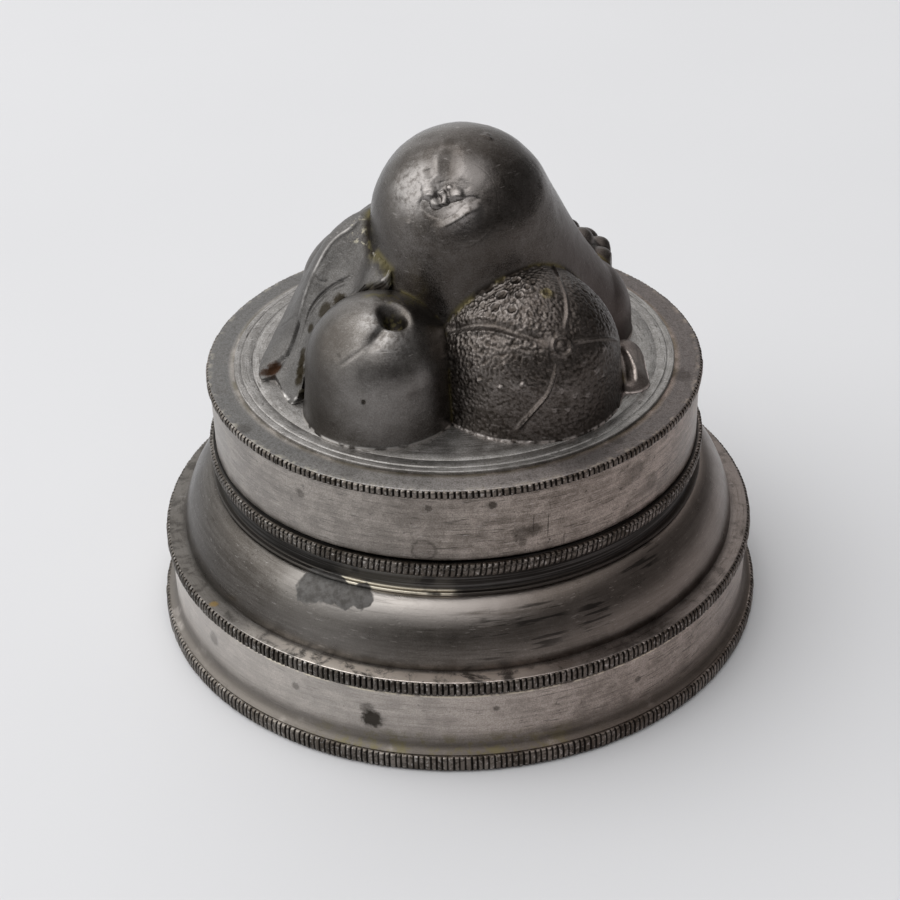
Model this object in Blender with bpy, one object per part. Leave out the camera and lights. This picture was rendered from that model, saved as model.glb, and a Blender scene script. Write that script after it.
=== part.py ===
"""Three-part pewter ice cream mould: base cover, domed body and a cover cast with fruit.

The mould stands on its base cover. The body lifts off the base cover, and the fruit cover lifts
off the body. Both covers sit as sleeves over a spigot on the body. The hollow runs from the floor
of the base cover up into the fruit. Metres, +Z up, origin at the middle of the foot's flat face.
"""
import math

import bmesh
import bpy
import numpy as np

MM = 0.001

# Fits and resolution
GAP = 0.3 * MM                  # clearance between pieces that touch, seat or slide
SEGMENTS = 48                   # facets around every turned piece
EDGE = 0.5 * MM                 # rounding on turned edges
CORNER_STEPS = 1                # facets in each rounded edge
EDGE_SHARE = 0.45               # most of a short side that one rounding may take
SMOOTH_ANGLE = 35.0             # facets that meet at less than this are shaded as one surface
WELD = 0.01 * MM                # points closer than this are one, on the mould's axis

# Base cover
FOOT_RADIUS = 85.0 * MM         # outside of the milled foot bead
FOOT_HEIGHT = 4.7 * MM          # height of the foot bead
FOOT_LAND = 8.8 * MM            # width of the flat ring that it stands on
COVE_RADIUS = 3.5 * MM          # hollow curve between the foot bead and the skirt
COVE_STEPS = 4                  # facets in the hollow curve
SKIRT_HEIGHT = 14.4 * MM        # straight wall above the cove
SKIRT_WALL = 2.0 * MM           # thickness of that wall
FLOOR_LEDGE = 2.2 * MM          # height of the ledge that carries the floor
FLOOR_THICKNESS = 2.5 * MM      # floor disc
FLOOR_DISH = 0.6 * MM           # depth of the shallow turned recess in the floor
FLOOR_RIM = 12.0 * MM           # width of the raised rim around that recess

# Body
SHOULDER_HEIGHT = 4.1 * MM      # milled edge of the ledge
SHOULDER_OVERHANG = 1.1 * MM    # how far it stands past the base skirt
LEDGE_WIDTH = 5.6 * MM          # flat ledge between its edge and the dome
DOME_SEAT = 2.0 * MM            # depth that the dome is let into the shoulder ring
DOME_WALL = 2.5 * MM            # thickness of the dome at its foot and its top
DOME_RISE = 17.2 * MM           # height of the dome above the ledge
DOME_RUN = 9.7 * MM             # how far it draws in on the way up
DOME_POWER = 1.6                # 2 is a quarter ellipse, less is flatter
DOME_STEPS = 8                  # facets up the dome
RIDGE = 1.0 * MM                # height of the solder ridge under the neck
RIDGE_PROUD = 0.4 * MM          # how far it stands past the top of the dome
RIDGE_ROUND = 0.5 * MM          # rounding on it
SPIGOT_WALL = 2.6 * MM          # lower end of the spigot inside the base skirt
SPIGOT_END_CLEARANCE = 0.6 * MM  # space left beyond the end of either spigot
NECK_HEIGHT = 4.8 * MM          # plain neck under the collar bead
COLLAR_BEAD_HEIGHT = 3.7 * MM   # milled collar bead
COLLAR_OVERHANG = 1.7 * MM      # how far that bead stands past the neck
UPPER_SPIGOT_WALL = 2.4 * MM    # spigot inside the fruit cover's skirt

# Fruit cover
COVER_STEP = 1.8 * MM           # ledge of the collar bead outside the cover's skirt
COVER_SKIRT_HEIGHT = 18.6 * MM  # plain skirt below the milled bead
COVER_WALL = 2.0 * MM           # thickness of the skirt
COVER_BEAD_HEIGHT = 2.5 * MM    # milled bead at the top edge
COVER_OVERHANG = 0.9 * MM       # how far that bead stands past the skirt
FLANGE_THICKNESS = 3.4 * MM     # turned flange that carries the fruit plate
COVER_LAND = 7.7 * MM           # flat ring between the bead and the fruit plate
PLATE_SEAT = 2.8 * MM           # width of the rebate under the fruit plate's edge
PLATE_LEDGE = 1.5 * MM          # metal left under that rebate
PLATE_THICKNESS = 2.6 * MM      # fruit plate
PLATE_RIM = 5.0 * MM            # bare rim of the plate outside the fruit

# Fruit: every form is drawn straight down to the plate, so it has no undercut
FRUIT_WALL = 2.0 * MM           # thickness of the castings
FRUIT_FACET = 4.8 * MM          # size of the facets on the fruit
FEWEST_SPOKES = 14              # facets around the smallest form
RING_SHARE = 0.25               # rings from the crown to the widest line, for each spoke
CUT_DEPTH = 6.0 * MM            # how far the hollow reaches down through the plate
CHAIN_STEPS = 9                 # balls in the envelope of a long form
JUST_INSIDE = 0.9995            # keeps the widest ring on the balls and not beside them
OBLIQUE = 1.4                   # a vertex on an edge moves further than the faces beside it

PEAR_RADIUS = 24.0 * MM         # round calyx end
PEAR_HEIGHT = 40.6 * MM         # centre of that end above the plate
PEAR_ASIDE = 3.2 * MM           # middle of that end to the right of the mould's axis
PEAR_FORWARD = 2.0 * MM         # and in front of it
PEAR_NECK_RADIUS = 16.6 * MM    # stem end, low on the right
PEAR_NECK_HEIGHT = 6.5 * MM
PEAR_NECK_ANGLE = 17.0
PEAR_NECK_MARGIN = 2.2 * MM     # stem end to the edge of the plate's rim
PEAR_FALL = 1.55                # above 1, the back of the pear is hollow between its ends
PEAR_DRAFT = 2.0
PEAR_CROWD = 0.55               # how much closer the facets stand towards the neck

APPLE_RADIUS = 18.8 * MM
APPLE_HEIGHT = 12.6 * MM
APPLE_ANGLE = -123.5
APPLE_DRAFT = 5.0
APPLE_STEM_ASIDE = 4.3 * MM     # stem hollow to the right of the apple's middle
APPLE_STEM_FORWARD = 6.2 * MM   # and in front of it
APPLE_STEM_DEPTH = 4.6 * MM
APPLE_STEM_WIDTH = 4.0 * MM

MELON_RADIUS = 23.8 * MM
MELON_HEIGHT = 10.6 * MM
MELON_ANGLE = -50.5
MELON_DRAFT = 5.0

PEACH_RADIUS = 18.6 * MM
PEACH_HEIGHT = 5.0 * MM
PEACH_ANGLE = 132.0
PEACH_DRAFT = 5.0
PEACH_STEM_DEPTH = 2.2 * MM
PEACH_STEM_WIDTH = 4.0 * MM

PLUM_RADIUS = 14.5 * MM
PLUM_HEIGHT = 6.5 * MM
PLUM_ANGLE = 87.0
PLUM_DRAFT = 5.0

GRAPE_RADIUS = 5.8 * MM         # one grape
GRAPE_MOUND_RADIUS = 15.4 * MM  # the bunch that they are heaped on
GRAPE_MOUND_HEIGHT = 7.0 * MM
GRAPE_ANGLE = 41.0
GRAPE_DRAFT = 3.0
GRAPE_SUNK = 3.5 * MM           # how deep each grape's middle lies in the mound
GRAPE_FACET = 2.4 * MM          # size of the facets on the grapes
GRAPES_AROUND = 6               # grapes in the ring around the middle one
GRAPES_OUT = 9.5 * MM           # middle of the bunch to the middle of each of them

LEAF_RADIUS = 12.5 * MM         # draped leaf, upper end against the pear
LEAF_HEIGHT = 28.0 * MM
LEAF_REACH = 20.0 * MM          # upper end, out from the middle of the cover
LEAF_ANGLE = 168.0
LEAF_FOOT_RADIUS = 10.5 * MM    # lower end, out on the plate
LEAF_FOOT_HEIGHT = 5.0 * MM
LEAF_FOOT_ANGLE = 178.0
LEAF_FOOT_MARGIN = 6.2 * MM     # lower end to the edge of the plate's rim
LEAF_TIP_RADIUS = 4.5 * MM      # tip of the leaf, flat on the plate
LEAF_TIP_HEIGHT = 0.6 * MM
LEAF_TIP_ANGLE = -168.5
LEAF_FALL = 0.65                # below 1, the leaf is humped between its ends
LEAF_TIP_FALL = 1.6
LEAF_DRAFT = 8.0
LEAF_FACET = 3.4 * MM

SIDE_LEAF_RADIUS = 5.6 * MM     # small leaf to the right of the melon
SIDE_LEAF_HEIGHT = 1.0 * MM
SIDE_LEAF_ANGLE = -5.0
SIDE_LEAF_TIP_RADIUS = 4.4 * MM
SIDE_LEAF_TIP_HEIGHT = 0.6 * MM
SIDE_LEAF_TIP_ANGLE = -22.0
SIDE_LEAF_MARGIN = 1.2 * MM
SIDE_LEAF_DRAFT = 8.0

# Radii that follow from the sizes above, from the foot inwards
SKIRT_RADIUS = FOOT_RADIUS - COVE_RADIUS
SKIRT_INNER = SKIRT_RADIUS - SKIRT_WALL
SPIGOT_RADIUS = SKIRT_INNER - GAP
SHOULDER_RADIUS = SKIRT_RADIUS + SHOULDER_OVERHANG
DOME_RADIUS = SHOULDER_RADIUS - LEDGE_WIDTH
DOME_TOP_RADIUS = DOME_RADIUS - DOME_RUN
NECK_RADIUS = DOME_TOP_RADIUS - RIDGE
COLLAR_RADIUS = NECK_RADIUS + COLLAR_OVERHANG
COVER_RADIUS = COLLAR_RADIUS - COVER_STEP
COVER_INNER = COVER_RADIUS - COVER_WALL
UPPER_SPIGOT_RADIUS = COVER_INNER - GAP
BORE_RADIUS = UPPER_SPIGOT_RADIUS - UPPER_SPIGOT_WALL
COVER_BEAD_RADIUS = COVER_RADIUS + COVER_OVERHANG
PLATE_RADIUS = COVER_BEAD_RADIUS - COVER_LAND
FRUIT_CIRCLE = PLATE_RADIUS - PLATE_RIM

# Heights that follow, from the foot upwards
COVE_TOP = FOOT_HEIGHT + COVE_RADIUS
SKIRT_TOP = COVE_TOP + SKIRT_HEIGHT
FLOOR_BOTTOM = FLOOR_LEDGE + GAP
FLOOR_TOP = FLOOR_BOTTOM + FLOOR_THICKNESS
SPIGOT_BOTTOM = FLOOR_TOP + SPIGOT_END_CLEARANCE
SHOULDER_BOTTOM = SKIRT_TOP + GAP
LEDGE_TOP = SHOULDER_BOTTOM + SHOULDER_HEIGHT
DOME_BOTTOM = LEDGE_TOP - DOME_SEAT
DOME_TOP = LEDGE_TOP + DOME_RISE
NECK_BOTTOM = DOME_TOP + GAP
NECK_TOP = NECK_BOTTOM + NECK_HEIGHT
COLLAR_TOP = NECK_TOP + COLLAR_BEAD_HEIGHT
COVER_BOTTOM = COLLAR_TOP + GAP
COVER_BEAD_BOTTOM = COVER_BOTTOM + COVER_SKIRT_HEIGHT
COVER_TOP = COVER_BEAD_BOTTOM + COVER_BEAD_HEIGHT
FLANGE_BOTTOM = COVER_TOP - FLANGE_THICKNESS
UPPER_SPIGOT_TOP = FLANGE_BOTTOM - SPIGOT_END_CLEARANCE
PLATE_BOTTOM = FLANGE_BOTTOM + PLATE_LEDGE + GAP
PLATE_TOP = PLATE_BOTTOM + PLATE_THICKNESS
FRUIT_BASE = PLATE_TOP + GAP

# Pewter in its four tones: colour, roughness
PEWTER_SKIRT = ((0.33, 0.30, 0.28), 0.38)
PEWTER_DARK = ((0.16, 0.155, 0.15), 0.34)
PEWTER_PLATE = ((0.25, 0.245, 0.235), 0.42)
PEWTER_FRUIT = ((0.19, 0.185, 0.18), 0.36)


def clear_scene():
    """Take every object out of the open file."""
    for thing in list(bpy.data.objects):
        bpy.data.objects.remove(thing, do_unlink=True)


def pewter(name, finish):
    """One Principled material with a piece's own colour and roughness."""
    colour, roughness = finish
    material = bpy.data.materials.new(name)
    material.use_nodes = True
    shader = material.node_tree.nodes["Principled BSDF"]
    shader.inputs["Base Color"].default_value = (*colour, 1.0)
    shader.inputs["Roughness"].default_value = roughness
    shader.inputs["Metallic"].default_value = 1.0
    return material


def add_object(name, mesh, parent=None, finish=None):
    """Link a mesh as one object, shaded smooth with its sharp edges kept."""
    thing = bpy.data.objects.new(name, mesh)
    bpy.context.scene.collection.objects.link(thing)
    thing.parent = parent
    if finish:
        mesh.materials.append(pewter(name, finish))
    mesh.shade_smooth()
    mesh.set_sharp_from_angle(angle=math.radians(SMOOTH_ANGLE))
    return thing


def assembly(name, height):
    """An empty on the mould's axis that carries the pieces which lift together."""
    holder = bpy.data.objects.new(name, None)
    holder.location = (0.0, 0.0, height)
    bpy.context.scene.collection.objects.link(holder)
    return holder


def rounded(corners):
    """Points of an outline of (radius, height, rounding) corners, each rounding made of chords."""
    points = []
    count = len(corners)
    for index, (radius, height, size) in enumerate(corners):
        here = np.array((radius, height))
        if size <= 0.0:
            points.append(here)
            continue
        before = np.array(corners[index - 1][:2]) - here
        after = np.array(corners[(index + 1) % count][:2]) - here
        shorter = min(np.linalg.norm(before), np.linalg.norm(after))
        reach = min(size, EDGE_SHARE * shorter)
        start = here + before / np.linalg.norm(before) * reach
        end = here + after / np.linalg.norm(after) * reach
        for step in range(CORNER_STEPS + 1):
            t = step / CORNER_STEPS
            points.append((1 - t) ** 2 * start + 2 * t * (1 - t) * here + t ** 2 * end)
    return points


def turned(name, profile, holder, finish, closed=True):
    """Turn a profile round the mould's axis. It runs down the outside and up the inside."""
    mesh = bpy.data.meshes.new(name)
    shape = bmesh.new()
    drop = holder.location.z
    verts = [shape.verts.new((r, 0.0, z - drop)) for r, z in profile]
    for first, second in zip(verts, verts[1:]):
        shape.edges.new((first, second))
    if closed:
        shape.edges.new((verts[-1], verts[0]))
    shape.to_mesh(mesh)
    shape.free()
    piece = add_object(name, mesh, holder, finish)
    screw = piece.modifiers.new("turn", "SCREW")
    screw.axis = "Z"
    screw.steps = SEGMENTS
    screw.render_steps = SEGMENTS
    screw.use_merge_vertices = True
    screw.merge_threshold = WELD
    screw.use_smooth_shade = True
    return piece


def base_skirt_ring(holder):
    """Foot bead, cove, skirt and the inner ledge under the floor, turned in one."""
    ledge = FOOT_RADIUS - FOOT_LAND
    corners = [
        (SKIRT_INNER, SKIRT_TOP, 0.0),
        (SKIRT_RADIUS, SKIRT_TOP, EDGE),
    ]
    for step in range(COVE_STEPS + 1):
        turn = 0.5 * math.pi * step / COVE_STEPS
        corners.append((
            FOOT_RADIUS - COVE_RADIUS * math.cos(turn),
            COVE_TOP - COVE_RADIUS * math.sin(turn),
            0.0,
        ))
    corners += [
        (FOOT_RADIUS, 0.0, EDGE),
        (ledge, 0.0, 0.0),
        (ledge, FLOOR_LEDGE, 0.0),
        (SKIRT_INNER, FLOOR_LEDGE, 0.0),
    ]
    return turned("base_skirt_ring", rounded(corners), holder, PEWTER_SKIRT)


def base_floor(holder):
    """Floor disc on the ledge inside the skirt, with a shallow turned recess."""
    rim = SKIRT_INNER - GAP
    recess = rim - FLOOR_RIM
    profile = [
        (0.0, FLOOR_TOP - FLOOR_DISH),
        (recess - FLOOR_DISH, FLOOR_TOP - FLOOR_DISH),
        (recess, FLOOR_TOP),
        (rim, FLOOR_TOP),
        (rim, FLOOR_BOTTOM),
        (0.0, FLOOR_BOTTOM),
    ]
    return turned("base_floor", profile, holder, PEWTER_PLATE, closed=False)


def shoulder_ring(holder):
    """Milled ledge of the body with the spigot that goes down into the base cover."""
    seat = DOME_RADIUS + GAP
    lip = DOME_RADIUS - DOME_WALL
    corners = [
        (seat, LEDGE_TOP, 0.0),
        (SHOULDER_RADIUS, LEDGE_TOP, EDGE),
        (SHOULDER_RADIUS, SHOULDER_BOTTOM, EDGE),
        (SPIGOT_RADIUS, SHOULDER_BOTTOM, 0.0),
        (SPIGOT_RADIUS, SPIGOT_BOTTOM, EDGE),
        (SPIGOT_RADIUS - SPIGOT_WALL, SPIGOT_BOTTOM, 0.0),
        (lip, SHOULDER_BOTTOM, 0.0),
        (lip, DOME_BOTTOM - GAP, 0.0),
        (seat, DOME_BOTTOM - GAP, 0.0),
    ]
    return turned("shoulder_ring", rounded(corners), holder, PEWTER_DARK)


def dome_curve(foot_radius, run, top, count):
    """Points down the dome from its top to the ledge, a flattened quarter ellipse."""
    rise = top - LEDGE_TOP
    points = []
    for step in range(count + 1):
        turn = 0.5 * math.pi * (1.0 - step / count)
        inward = 1.0 - math.cos(turn) ** (2.0 / DOME_POWER)
        upward = math.sin(turn) ** (2.0 / DOME_POWER)
        points.append((foot_radius - run * inward, LEDGE_TOP + rise * upward))
    return points


def dome_wall(holder):
    """Domed wall of the body, let into the shoulder ring, with a solder ridge at its top."""
    top = DOME_TOP - RIDGE
    outer = dome_curve(DOME_RADIUS, DOME_RUN, top, DOME_STEPS)
    inner = dome_curve(DOME_RADIUS - DOME_WALL, DOME_RUN, top, DOME_STEPS // 2)
    ridge_radius = DOME_TOP_RADIUS + RIDGE_PROUD
    profile = [(ridge_radius - RIDGE_ROUND, DOME_TOP), (ridge_radius, DOME_TOP - RIDGE_ROUND)]
    profile += outer
    profile += [(DOME_RADIUS, DOME_BOTTOM), (DOME_RADIUS - DOME_WALL, DOME_BOTTOM)]
    profile += inner[::-1]
    profile += [(DOME_TOP_RADIUS - DOME_WALL, DOME_TOP)]
    return turned("dome_wall", profile, holder, PEWTER_DARK)


def collar_ring(holder):
    """Neck, milled bead and the spigot that goes up into the fruit cover."""
    flare = DOME_TOP_RADIUS - DOME_WALL
    corners = [
        (BORE_RADIUS, UPPER_SPIGOT_TOP, 0.0),
        (UPPER_SPIGOT_RADIUS, UPPER_SPIGOT_TOP, EDGE),
        (UPPER_SPIGOT_RADIUS, COLLAR_TOP, 0.0),
        (COLLAR_RADIUS, COLLAR_TOP, EDGE),
        (COLLAR_RADIUS, NECK_TOP, EDGE),
        (NECK_RADIUS, NECK_TOP, 0.0),
        (NECK_RADIUS, NECK_BOTTOM, 0.0),
        (flare, NECK_BOTTOM, 0.0),
        (BORE_RADIUS, COLLAR_TOP, 0.0),
    ]
    return turned("collar_ring", rounded(corners), holder, PEWTER_DARK)


def cover_ring(holder):
    """Skirt, milled bead and rebated flange of the fruit cover."""
    seat = PLATE_RADIUS + GAP
    corners = [
        (seat, COVER_TOP, 0.0),
        (COVER_BEAD_RADIUS, COVER_TOP, EDGE),
        (COVER_BEAD_RADIUS, COVER_BEAD_BOTTOM, EDGE),
        (COVER_RADIUS, COVER_BEAD_BOTTOM, 0.0),
        (COVER_RADIUS, COVER_BOTTOM, 0.0),
        (COVER_INNER, COVER_BOTTOM, 0.0),
        (COVER_INNER, FLANGE_BOTTOM, 0.0),
        (PLATE_RADIUS - PLATE_SEAT, FLANGE_BOTTOM, 0.0),
        (PLATE_RADIUS - PLATE_SEAT, FLANGE_BOTTOM + PLATE_LEDGE, 0.0),
        (seat, FLANGE_BOTTOM + PLATE_LEDGE, 0.0),
    ]
    return turned("cover_ring", rounded(corners), holder, PEWTER_SKIRT)


class FruitForm:
    """A fruit as the upper envelope of balls, drawn down to the plate with draft.

    balls holds (x, y, height above the plate, radius) rows. The mesh's rings close at the pole,
    which is also the middle of a dimple of (depth, width). crowd is (angle, share): its spokes
    stand closer together towards that angle.
    """

    def __init__(self, balls, draft, pole=None, dimple=(0.0, 1.0), bumps=(), crowd=(0.0, 0.0),
                 facet=FRUIT_FACET):
        self.balls = np.array(balls, dtype=float)
        self.bumps = np.array(bumps, dtype=float).reshape(-1, 4)
        self.draft = math.tan(math.radians(draft))
        self.pole = np.array(pole if pole is not None else self.balls[0, :2])
        self.depth, self.width = dimple
        self.crowd = crowd
        self.facet = facet

    def spokes(self, facet):
        """Directions out from the pole, spaced about one facet apart on the widest ball."""
        widest = float(np.max(self.balls[:, 3]))
        count = max(FEWEST_SPOKES, round(2.0 * math.pi * widest / facet))
        angle, share = self.crowd
        directions = []
        for step in range(count):
            turn = 2.0 * math.pi * step / count
            turn += math.radians(angle) - share * math.sin(turn)
            directions.append(np.array((math.cos(turn), math.sin(turn))))
        return directions

    def reach(self, direction, radii):
        """Distance from the pole to the edge of the balls' outline in one direction."""
        offsets = self.balls[:, :2] - self.pole
        along = offsets @ direction
        across = offsets @ np.array((-direction[1], direction[0]))
        inside = np.clip(radii ** 2 - across ** 2, 0.0, None)
        return float(np.max(np.where(inside > 0.0, along + np.sqrt(inside), 0.0)))

    def height(self, spot, grow):
        """Height of the envelope above the plate at one spot."""
        rows = self.balls
        if len(self.bumps) and grow >= 0.0:
            rows = np.vstack((self.balls, self.bumps))
        gap2 = (rows[:, 3] + grow) ** 2 - np.sum((rows[:, :2] - spot) ** 2, axis=1)
        tops = rows[:, 2] + np.sqrt(np.clip(gap2, 0.0, None))
        top = float(np.max(np.where(gap2 > 0.0, tops, np.min(rows[:, 2]))))
        away2 = float(np.sum((self.pole - spot) ** 2))
        return top - self.depth * math.exp(-away2 / self.width ** 2)

    def mesh(self, name, grow, bottom, facet=FRUIT_FACET):
        """Closed mesh of the form, grown or shrunk, down to a height from the plate."""
        radii = self.balls[:, 3] + grow
        spread = np.clip(self.balls[:, 2] - bottom, 0.0, None) * self.draft
        directions = self.spokes(facet)
        rings = round(RING_SHARE * len(directions))
        shape = bmesh.new()
        crown = shape.verts.new((*self.pole, FRUIT_BASE + self.height(self.pole, grow)))
        rows = []
        for ring in range(1, rings + 1):
            share = JUST_INSIDE * math.sin(0.5 * math.pi * ring / rings)
            rows.append([])
            for direction in directions:
                spot = self.pole + direction * self.reach(direction, radii) * share
                height = max(self.height(spot, grow), bottom + GAP)
                rows[-1].append(shape.verts.new((*spot, FRUIT_BASE + height)))
        rows.append([])
        for direction in directions:
            spot = self.pole + direction * self.reach(direction, radii + spread)
            rows[-1].append(shape.verts.new((*spot, FRUIT_BASE + bottom)))
        for step in range(len(directions)):
            after = (step + 1) % len(directions)
            shape.faces.new((crown, rows[0][step], rows[0][after]))
            for upper, lower in zip(rows, rows[1:]):
                shape.faces.new((upper[step], lower[step], lower[after], upper[after]))
        shape.faces.new(rows[-1][::-1])
        mesh = bpy.data.meshes.new(name)
        shape.to_mesh(mesh)
        shape.free()
        return mesh


def polar(angle, distance):
    """Plan position at an angle in degrees and a distance from the axis."""
    turn = math.radians(angle)
    return (distance * math.cos(turn), distance * math.sin(turn))


def on_circle(angle, radius, height, draft, margin=0.0):
    """Ball whose drafted foot just reaches the inside of the plate's bare rim."""
    foot = radius + height * math.tan(math.radians(draft))
    return (*polar(angle, FRUIT_CIRCLE - margin - foot), height, radius)


def chain(first, last, ease):
    """Balls that run from one to another, falling faster or slower as ease says."""
    first = np.array(first)
    last = np.array(last)
    balls = []
    for step in range(CHAIN_STEPS):
        t = step / (CHAIN_STEPS - 1)
        ball = first + (last - first) * t
        ball[2] = first[2] + (last[2] - first[2]) * (1.0 - (1.0 - t) ** ease)
        balls.append(tuple(ball))
    return balls


def pear_form():
    """Big round calyx end on top, drawing out to a low neck on the right."""
    head = (PEAR_ASIDE, -PEAR_FORWARD, PEAR_HEIGHT, PEAR_RADIUS)
    neck = on_circle(PEAR_NECK_ANGLE, PEAR_NECK_RADIUS, PEAR_NECK_HEIGHT, PEAR_DRAFT,
                     PEAR_NECK_MARGIN)
    return FruitForm(chain(head, neck, PEAR_FALL), PEAR_DRAFT,
                     crowd=(PEAR_NECK_ANGLE, PEAR_CROWD))


def apple_form():
    """Round apple with a stem hollow high on its front."""
    ball = on_circle(APPLE_ANGLE, APPLE_RADIUS, APPLE_HEIGHT, APPLE_DRAFT)
    pole = (ball[0] + APPLE_STEM_ASIDE, ball[1] - APPLE_STEM_FORWARD)
    return FruitForm([ball], APPLE_DRAFT, pole, (APPLE_STEM_DEPTH, APPLE_STEM_WIDTH))


def melon_form():
    """Broad netted melon, the widest fruit."""
    return FruitForm([on_circle(MELON_ANGLE, MELON_RADIUS, MELON_HEIGHT, MELON_DRAFT)],
                     MELON_DRAFT)


def peach_form():
    """Peach at the back left."""
    ball = on_circle(PEACH_ANGLE, PEACH_RADIUS, PEACH_HEIGHT, PEACH_DRAFT)
    return FruitForm([ball], PEACH_DRAFT, dimple=(PEACH_STEM_DEPTH, PEACH_STEM_WIDTH))


def plum_form():
    """Small plum at the back."""
    return FruitForm([on_circle(PLUM_ANGLE, PLUM_RADIUS, PLUM_HEIGHT, PLUM_DRAFT)], PLUM_DRAFT)


def grape_bumps(mound):
    """One grape on top of the mound and a ring around it, as (x, y, height, radius) rows."""
    places = [(0.0, 0.0)]
    for index in range(GRAPES_AROUND):
        places.append(polar(360.0 * index / GRAPES_AROUND, GRAPES_OUT))
    rows = []
    for x, y in places:
        drop = math.sqrt(GRAPE_MOUND_RADIUS ** 2 - x ** 2 - y ** 2)
        rows.append((mound[0] + x, mound[1] + y, mound[2] + drop - GRAPE_SUNK, GRAPE_RADIUS))
    return rows


def grape_form():
    """Bunch of grapes at the back right, heaped on a mound."""
    mound = on_circle(GRAPE_ANGLE, GRAPE_MOUND_RADIUS, GRAPE_MOUND_HEIGHT, GRAPE_DRAFT)
    return FruitForm([mound], GRAPE_DRAFT, bumps=grape_bumps(mound), facet=GRAPE_FACET)


def leaf_form():
    """Leaf draped from the pear's left side down to the plate."""
    top = (*polar(LEAF_ANGLE, LEAF_REACH), LEAF_HEIGHT, LEAF_RADIUS)
    foot = on_circle(LEAF_FOOT_ANGLE, LEAF_FOOT_RADIUS, LEAF_FOOT_HEIGHT, LEAF_DRAFT,
                     LEAF_FOOT_MARGIN)
    tip = on_circle(LEAF_TIP_ANGLE, LEAF_TIP_RADIUS, LEAF_TIP_HEIGHT, LEAF_DRAFT)
    balls = chain(top, foot, LEAF_FALL) + chain(foot, tip, LEAF_TIP_FALL)
    return FruitForm(balls, LEAF_DRAFT, pole=foot[:2], facet=LEAF_FACET)


def side_leaf_form():
    """Small curled leaf between the melon and the pear's neck, low enough to be cast solid."""
    root = on_circle(SIDE_LEAF_ANGLE, SIDE_LEAF_RADIUS, SIDE_LEAF_HEIGHT, SIDE_LEAF_DRAFT,
                     SIDE_LEAF_MARGIN)
    tip = on_circle(SIDE_LEAF_TIP_ANGLE, SIDE_LEAF_TIP_RADIUS, SIDE_LEAF_TIP_HEIGHT,
                    SIDE_LEAF_DRAFT, SIDE_LEAF_MARGIN)
    return FruitForm(chain(root, tip, 1.0), SIDE_LEAF_DRAFT)


def grown_copy(mesh, name):
    """A form's mesh moved out along its normals, so that a neighbour cut by it stays clear."""
    shape = bmesh.new()
    shape.from_mesh(mesh)
    shape.normal_update()
    for vert in shape.verts:
        vert.co += vert.normal * GAP * OBLIQUE
    grown = bpy.data.meshes.new(name)
    shape.to_mesh(grown)
    shape.free()
    return grown


def cutter(name, mesh):
    """Hidden object that only cuts others."""
    thing = add_object(name, mesh)
    thing.hide_render = True
    thing.display_type = "WIRE"
    return thing


def boolean(piece, tool, operation):
    """Add one Boolean modifier to a piece."""
    modifier = piece.modifiers.new(operation.lower(), "BOOLEAN")
    modifier.operation = operation
    modifier.solver = "MANIFOLD"
    modifier.object = tool


def joined_hollow(forms):
    """The one hollow inside all the fruit, reaching down through the plate."""
    whole = None
    for name, form in forms:
        part = cutter("hollow_" + name, form.mesh("hollow_" + name, -FRUIT_WALL, -CUT_DEPTH))
        if whole is None:
            whole = part
        else:
            boolean(whole, part, "UNION")
    return whole


def fruit_plate(holder, hollow):
    """Disc let into the flange, open where the fruit above is hollow."""
    profile = rounded([
        (0.0, PLATE_TOP, 0.0),
        (PLATE_RADIUS, PLATE_TOP, EDGE),
        (PLATE_RADIUS, PLATE_BOTTOM, 0.0),
        (0.0, PLATE_BOTTOM, 0.0),
    ])
    plate = turned("fruit_plate", profile, holder, PEWTER_PLATE, closed=False)
    boolean(plate, hollow, "DIFFERENCE")
    return plate


def fruit_castings(holder, forms, hollow):
    """Each fruit as a shell, cut clear of the ones before it and of the joined hollow."""
    earlier = []
    for name, form in forms:
        piece = add_object(name, form.mesh(name, 0.0, 0.0, form.facet), holder, PEWTER_FRUIT)
        piece.matrix_parent_inverse = holder.matrix_world.inverted()
        for tool in earlier:
            boolean(piece, tool, "DIFFERENCE")
        boolean(piece, hollow, "DIFFERENCE")
        earlier.append(cutter("clear_" + name, grown_copy(piece.data, "clear_" + name)))


def main():
    """Build the base cover, the body and the fruit cover in their places."""
    clear_scene()
    base = assembly("base_cover", 0.0)
    body = assembly("mould_body", SHOULDER_BOTTOM)
    cover = assembly("fruit_cover", COVER_BOTTOM)
    bpy.context.view_layer.update()
    base_skirt_ring(base)
    base_floor(base)
    shoulder_ring(body)
    dome_wall(body)
    collar_ring(body)
    cover_ring(cover)
    hollow_forms = [
        ("pear", pear_form()),
        ("apple", apple_form()),
        ("melon", melon_form()),
        ("draped_leaf", leaf_form()),
        ("peach", peach_form()),
        ("grapes", grape_form()),
        ("plum", plum_form()),
    ]
    solid_forms = [("side_leaf", side_leaf_form())]
    hollow = joined_hollow(hollow_forms)
    fruit_plate(cover, hollow)
    fruit_castings(cover, hollow_forms + solid_forms, hollow)


main()
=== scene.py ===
# %% [markdown]
# # An old pewter ice cream mould
# The mould stands in three parts: a base cover on a milled foot, a domed body, and a cover that
# is cast with a pear, an apple, a melon and a leaf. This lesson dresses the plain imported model.
# It loads that model first, and every piece made below goes exactly where the model says.

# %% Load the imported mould
import math
from functools import cached_property

import bpy
import numpy as np
from mathutils import Matrix, Vector, noise


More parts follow.
